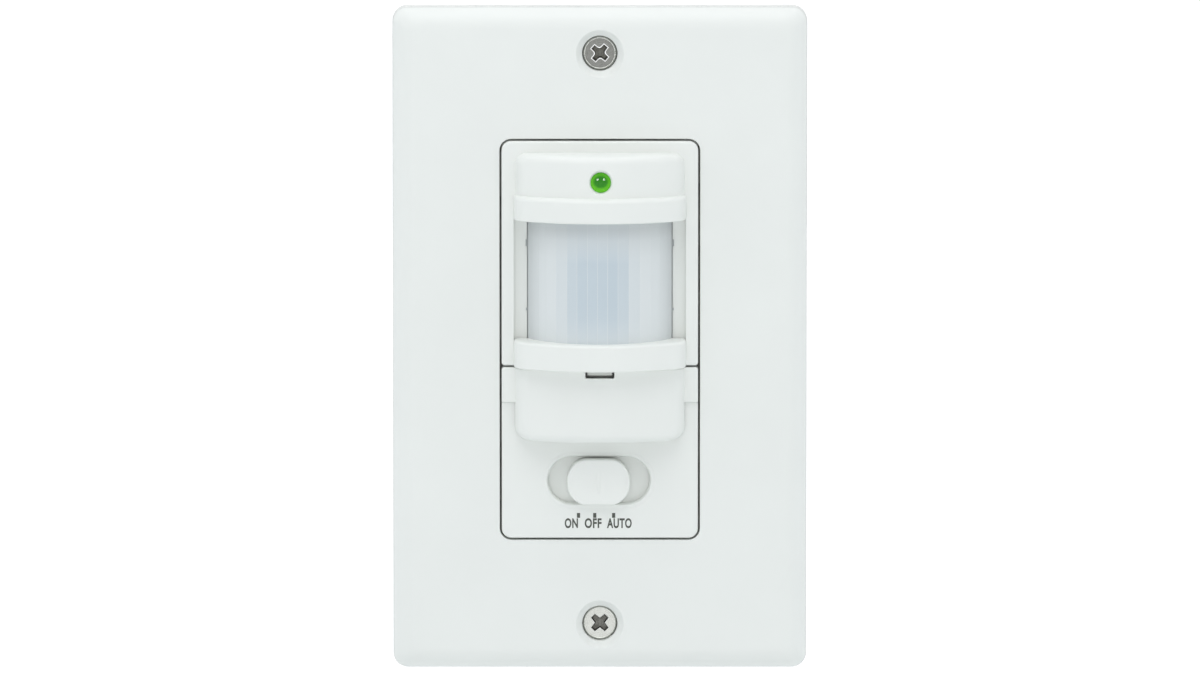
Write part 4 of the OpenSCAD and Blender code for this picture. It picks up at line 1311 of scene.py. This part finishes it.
# The lip: how far out from the slot, and height over the panel's face
LIP = ((0.85, 0), (0.68, 0.09), (0.45, 0.15), (0.25, 0.1), (0.1, -0.1), (0, -0.4))
KNOB_UP = -23.85
DIAL_UP = -10.5
DIAL_PITCH = 8.5
DIAL_HOLE_R = 2.95
DIAL_CHAMFER = 0.15
POCKET = ((12.9, -10.66), (18, -10.66), (18, -3), (12.9, -3))
POCKET_CUT = (5.4, 9)
LUG_HALF = 0.75
LUG_ROOT = 5.0
LUG_LOW = HINGE_UP - 0.6
LUG_BACK = ((HINGE_UP - LUG_R, HINGE_OUT - 0.4), (LUG_LOW, HINGE_OUT - 1.32))


def panel_outline(inset):
    return rounded_box(panel.left + inset, panel.right - inset, panel.low + inset, PANEL_TOP - inset,
                       [max(r - inset, PANEL_LEAST_R) for r in PANEL_CORNERS])


def stadium(grow):
    """The slot's outline: two half circles and two straight sides."""
    half_h, side = SLOT_HALF_H + grow, SLOT_HALF_W - SLOT_HALF_H
    points = []
    for x, turn in ((side, -90), (-side, 90)):
        for i in range(SLOT_STEPS + 1):
            a = math.radians(turn + 180 * i / SLOT_STEPS)
            points.append((SLOT_ACROSS + x + half_h * math.cos(a), KNOB_UP + half_h * math.sin(a)))
    return points


def add_lug(bm, side):
    foot = [(LUG_LOW, LUG_ROOT), (HINGE_UP + LUG_R, LUG_ROOT)]
    outline = foot + hinge_arc(LUG_R, math.pi, 24) + list(LUG_BACK)
    across_loft(bm, outline, side * (LUG_X - LUG_HALF), side * (LUG_X + LUG_HALF))


def make_panel():
    bm = bmesh.new()
    inner_face = PANEL_FACE - FRAME_WALL
    face, floor = add_tray(bm, panel_outline, panel.back, PANEL_EDGE, PANEL_FACE)
    lip = [level(stadium(grow), PANEL_FACE + rise) for grow, rise in LIP]
    openings = [loft(bm, lip + [level(stadium(0), inner_face)])]
    hole = ((DIAL_HOLE_R + DIAL_CHAMFER, PANEL_FACE), (DIAL_HOLE_R, PANEL_FACE - DIAL_CHAMFER),
            (DIAL_HOLE_R, inner_face))
    for i in (-1, 0, 1):
        openings.append(loft(bm, [level(circle(i * DIAL_PITCH, DIAL_UP, r), out) for r, out in hole]))
    fill(bm, face, *[rows[0] for rows in openings])
    fill(bm, floor, *[rows[-1] for rows in openings])
    made = to_object("lower_front", bm)
    for side in (1, -1):
        carve(made, cutter([(side * x, up) for x, up in POCKET], *POCKET_CUT))
    bm = bmesh.new()
    for side in (1, -1):
        add_lug(bm, side)
    return join(made, to_object("lugs", bm))


finish_piece(make_panel(), [front_white], BASE, "front_plastic", "switch_panel")

# %% [markdown]
# The slide knob is a pillow with a fine upright ridge for the finger. Behind the slot it carries a wide
# skirt that closes the slot at both ends of its travel, and a fork that grips the switch on the board.
# All of these are closed lofts that overlap inside the knob, as one moulding.

# %% Slide knob
KNOB_HALF_W = 5.27
KNOB_ACROSS = -0.22
KNOB_LOW = KNOB_UP - 3.87
KNOB_HIGH = KNOB_UP + 3.74
KNOB_ROUND = (3.3, 3.7)
KNOB_LEAST_R = 0.1
KNOB_DISH = 0.3
DISH_REACH = 3.2
DISH_STARTS = 0.7
KNOB_STEPS = 10
KNOB_CHIN = 0.22
KNOB_EASE_IN = 0.3
KNOB_EASE_UP = 0.4
KNOB_EASE_FROM = 7.45
KNOB_FACE = 7.88
SKIRT = SimpleNamespace(half_w=12.0, half_h=4.66, back=3.7, face=4.6, radius=1, edge=0.1)
# The knob's rings: how far drawn in, how far the chin leans out at the bottom, distance from the wall
KNOB_SIDE = ((0, 0, SKIRT.face - SKIRT.edge), (0, 0, 6.3), (0, 0.12, 6.6))
KNOB_EDGE = [(KNOB_EASE_IN * (1 - c), KNOB_CHIN, KNOB_EASE_FROM + KNOB_EASE_UP * s) for s, c in quarter(6)]
KNOB_TOP = [(inset, chin, KNOB_FACE)
            for inset, chin in ((0.7, 0.2), (1.3, 0.15), (2.0, 0.1), (2.7, 0.05), (3.4, 0))]
# The ridge: left, right, low and high edges from the knob's middle, corner radius, distance from the wall
RIDGE_RINGS = ((-0.68, 0.14, -3.0, 2.9, 0.16, 7.3), (-0.68, 0.14, -3.0, 2.9, 0.16, 7.6),
               (-0.5, -0.04, -2.8, 2.7, 0.05, 7.72))
FORK = SimpleNamespace(inner=1.25, outer=2.45, half_h=1.2, radius=0.15, overlap=0.1)


def knob_ring(inset, chin, out):
    """The knob seen from the front: oval corners, a chin that leans out at the bottom, and a face that is
    dished from top to bottom for the finger."""
    half_w, low, high = KNOB_HALF_W - inset, KNOB_LOW + inset - chin, KNOB_HIGH - inset
    round_x, round_up = [max(r - inset, KNOB_LEAST_R) for r in KNOB_ROUND]
    share = min(1.0, inset / DISH_STARTS)
    points = []
    for sx, sy, start in ((1, -1, -90), (1, 1, 0), (-1, 1, 90), (-1, -1, 180)):
        for i in range(KNOB_STEPS + 1):
            a = math.radians(start + 90 * i / KNOB_STEPS)
            x = sx * (half_w - round_x) + round_x * math.cos(a)
            up = (high - round_up if sy > 0 else low + round_up) + round_up * math.sin(a)
            dish = KNOB_DISH * max(0.0, 1 - ((up - KNOB_UP) / DISH_REACH) ** 2) * share
            points.append(spot(KNOB_ACROSS + x, up, out - dish))
    return points


def skirt_ring(inset, out):
    half_w, half_h, radius = SKIRT.half_w - inset, SKIRT.half_h - inset, SKIRT.radius - inset
    return level(rounded_box(-half_w, half_w, KNOB_UP - half_h, KNOB_UP + half_h, radius, 5), out)


def make_knob():
    bm = bmesh.new()
    closed_loft(bm, [knob_ring(*ring) for ring in (*KNOB_SIDE, *KNOB_EDGE, *KNOB_TOP)])
    skirt = ((0, SKIRT.back), (0, SKIRT.face - SKIRT.edge), (SKIRT.edge, SKIRT.face))
    closed_loft(bm, [skirt_ring(*ring) for ring in skirt])
    closed_loft(bm, [level(rounded_box(left, right, KNOB_UP + low, KNOB_UP + high, radius, 4), out)
                     for left, right, low, high, radius, out in RIDGE_RINGS])
    prong = rounded_box(FORK.inner, FORK.outer, KNOB_UP - FORK.half_h, KNOB_UP + FORK.half_h, FORK.radius, 3)
    for side in (1, -1):
        outline = [(side * x, up) for x, up in prong]
        closed_loft(bm, [level(outline, slider.back), level(outline, SKIRT.back + FORK.overlap)])
    return to_object("slide_knob", bm)


finish_piece(make_knob(), [knob_white], "mode_slider", "front_plastic", "mode_slider")

# %% [markdown]
# Under the slot three ticks and the words ON, OFF and AUTO are pad-printed in dark grey. They are thin
# solid shapes on the face of the panel: the words come from the font that Blender brings along, fitted
# to the height and width that the words have on the switch.

# %% Printing
INK_THICK = 0.012
TICKS = (-3.6, -0.86, 2.33)
TICK_WIDE = 0.54
TICK_LOW = -30.27
TICK_HIGH = -29.44
TICK_R = 0.06
TICK_SUNK = 0.003
WORDS = (("ON", -5.92, -3.69), ("OFF", -2.55, 0.29), ("AUTO", 1.2, 5.38))
WORD_LOW = -32.03
WORD_HIGH = -30.33
WORD_SUNK = 0.2
LETTER_BOLD = 0.034
LETTER_SPACE = 1.1
LETTER_THICK = 0.01


def make_word(text, left, right):
    """A word as a mesh, stretched to its place. Its back is sunk a share of the ink into the panel."""
    curve = bpy.data.curves.new("word", "FONT")
    curve.body = text
    curve.offset = LETTER_BOLD
    curve.space_character = LETTER_SPACE
    curve.extrude = LETTER_THICK
    holder = bpy.data.objects.new("word", curve)
    bpy.context.scene.collection.objects.link(holder)
    bpy.context.view_layer.update()
    mesh = bpy.data.meshes.new_from_object(holder.evaluated_get(bpy.context.evaluated_depsgraph_get()))
    bpy.data.objects.remove(holder)
    low = [min(v.co[i] for v in mesh.vertices) for i in range(3)]
    high = [max(v.co[i] for v in mesh.vertices) for i in range(3)]
    for v in mesh.vertices:
        x, y, z = [(v.co[i] - low[i]) / (high[i] - low[i]) for i in range(3)]
        v.co = spot(left + (right - left) * x, WORD_LOW + (WORD_HIGH - WORD_LOW) * y,
                    PANEL_FACE + INK_THICK * (z - WORD_SUNK))
    made = bpy.data.objects.new("word_" + text, mesh)
    bpy.context.scene.collection.objects.link(made)
    return made


def make_print():
    bm = bmesh.new()
    for x in TICKS:
        outline = rounded_box(x - TICK_WIDE / 2, x + TICK_WIDE / 2, TICK_LOW, TICK_HIGH, TICK_R, 3)
        closed_loft(bm, [level(outline, PANEL_FACE - TICK_SUNK), level(outline, PANEL_FACE + INK_THICK)])
    return join(to_object("printing", bm), *[make_word(*word) for word in WORDS])


ink = plastic("print_grey", (0.075, 0.082, 0.066), rough=(0.45, 0.6), mottle=0.25)
finish_piece(make_print(), [ink], BASE, "print_ink")

# %% [markdown]
# The pieces behind the front stay as they are in the CAD model, since they are simple stamped, turned
# and moulded parts. A fine bevel on their sharp edges and a finish for each material is all they need. The
# strap is dull galvanised sheet, with the flat grey crystals that zinc makes: a cell texture with a grey
# for each cell. It is what lies dark at the bottom of the fine gap round the front.

# %% Inner pieces
CRYSTAL_SCALE = 450
ZINC_GREYS = ((0.2, (0.23, 0.225, 0.21)), (0.8, (0.34, 0.335, 0.315)))
WELD_REACH = 1e-6
FLAT_ANGLE = math.radians(1)
BEVEL_ANGLE = math.radians(40)
BEVEL = 0.12


def galvanised(name):
    made, tree, bsdf = shader(name)
    bsdf.inputs["Metallic"].default_value = 1.0
    cells = add_node(tree, "TexVoronoi", {"Vector": own_place(tree)}, {"Scale": CRYSTAL_SCALE})
    surface(tree, bsdf, ramp(tree, cells.outputs["Color"], ZINC_GREYS), rough=(0.5, 0.6), patches=600)
    return made


# Each finish: its slot, its material, and the nodes that have it
FINISHES = (
    ("steel", galvanised("galvanised_sheet"), "mounting_strap"),
    ("steel", plain_metal("bright_steel_pins", (0.62, 0.63, 0.64)),
     "mode_switch_body", "led_legs", "pir_can", "pir_leads", "housing_screws", "board_screws"),
    ("brass", plain_metal("brass", (0.72, 0.52, 0.22)), "terminal_plates", "terminal_screws"),
    ("ground_green", plain_metal("green_zinc", (0.10, 0.30, 0.13)), "ground_screw"),
    ("dark_plastic", plastic("dark_plastic", (0.028, 0.029, 0.031), rough=(0.44, 0.55), mottle=0.3),
     "mode_switch_carriage", "lens_retainer", "pir_spacer", "control_chip", "board_header", "rear_housing"),
    ("dial_plastic", plastic("dial_plastic", (0.80, 0.80, 0.76)), "time_dial", "light_dial", "range_dial"),
    ("board_green", plastic("board_green", (0.03, 0.17, 0.07), mottle=0.3), "sensor_board", "power_board"),
    ("relay_blue", plastic("relay_blue", (0.05, 0.14, 0.42)), "relay"),
    ("film_red", plastic("film_red", (0.45, 0.06, 0.05)), "film_capacitor"),
    ("can_dark", plastic("can_dark", (0.05, 0.05, 0.06)), "filter_capacitor"),
    ("varistor_blue", plastic("varistor_blue", (0.08, 0.20, 0.50)), "varistor"),
    ("trimmer_blue", plastic("trimmer_blue", (0.06, 0.20, 0.48)),
     "time_trimmer", "light_trimmer", "range_trimmer"),
    ("filter_dark", plastic("filter_dark", (0.03, 0.02, 0.025)), "pir_window"),
    ("sensor_amber", plastic("sensor_amber", (0.55, 0.22, 0.03)), "light_sensor"),
)


def dress(node, material):
    """Gives a CAD node its finish, and fine bevels in place of its sharp edges."""
    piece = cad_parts[node]
    piece.data.materials.clear()
    piece.data.materials.append(material)
    weld = piece.modifiers.new("weld", "WELD")
    weld.merge_threshold = WELD_REACH
    flat = piece.modifiers.new("flat", "DECIMATE")
    flat.decimate_type = "DISSOLVE"
    flat.angle_limit = FLAT_ANGLE
    soft = piece.modifiers.new("soft_edges", "BEVEL")
    soft.width = BEVEL * MM
    soft.segments = 2
    soft.limit_method = "ANGLE"
    soft.angle_limit = BEVEL_ANGLE
    soft.harden_normals = True


for slot, material, *nodes in FINISHES:
    for node in nodes:
        dress(node, material)
print(sum(len(nodes) for _, _, *nodes in FINISHES), "inner pieces dressed")

# %% [markdown]
# Last, the box round everything is measured before and after, because the pieces that show must not stand
# out beyond the CAD model that they dress.

# %% Measure and finish
visual_low, visual_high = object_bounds()
for name, low, high in (("CAD", cad_low, cad_high), ("visual", visual_low, visual_high)):
    print(name, [round(v / MM, 2) for v in low], [round(v / MM, 2) for v in high])
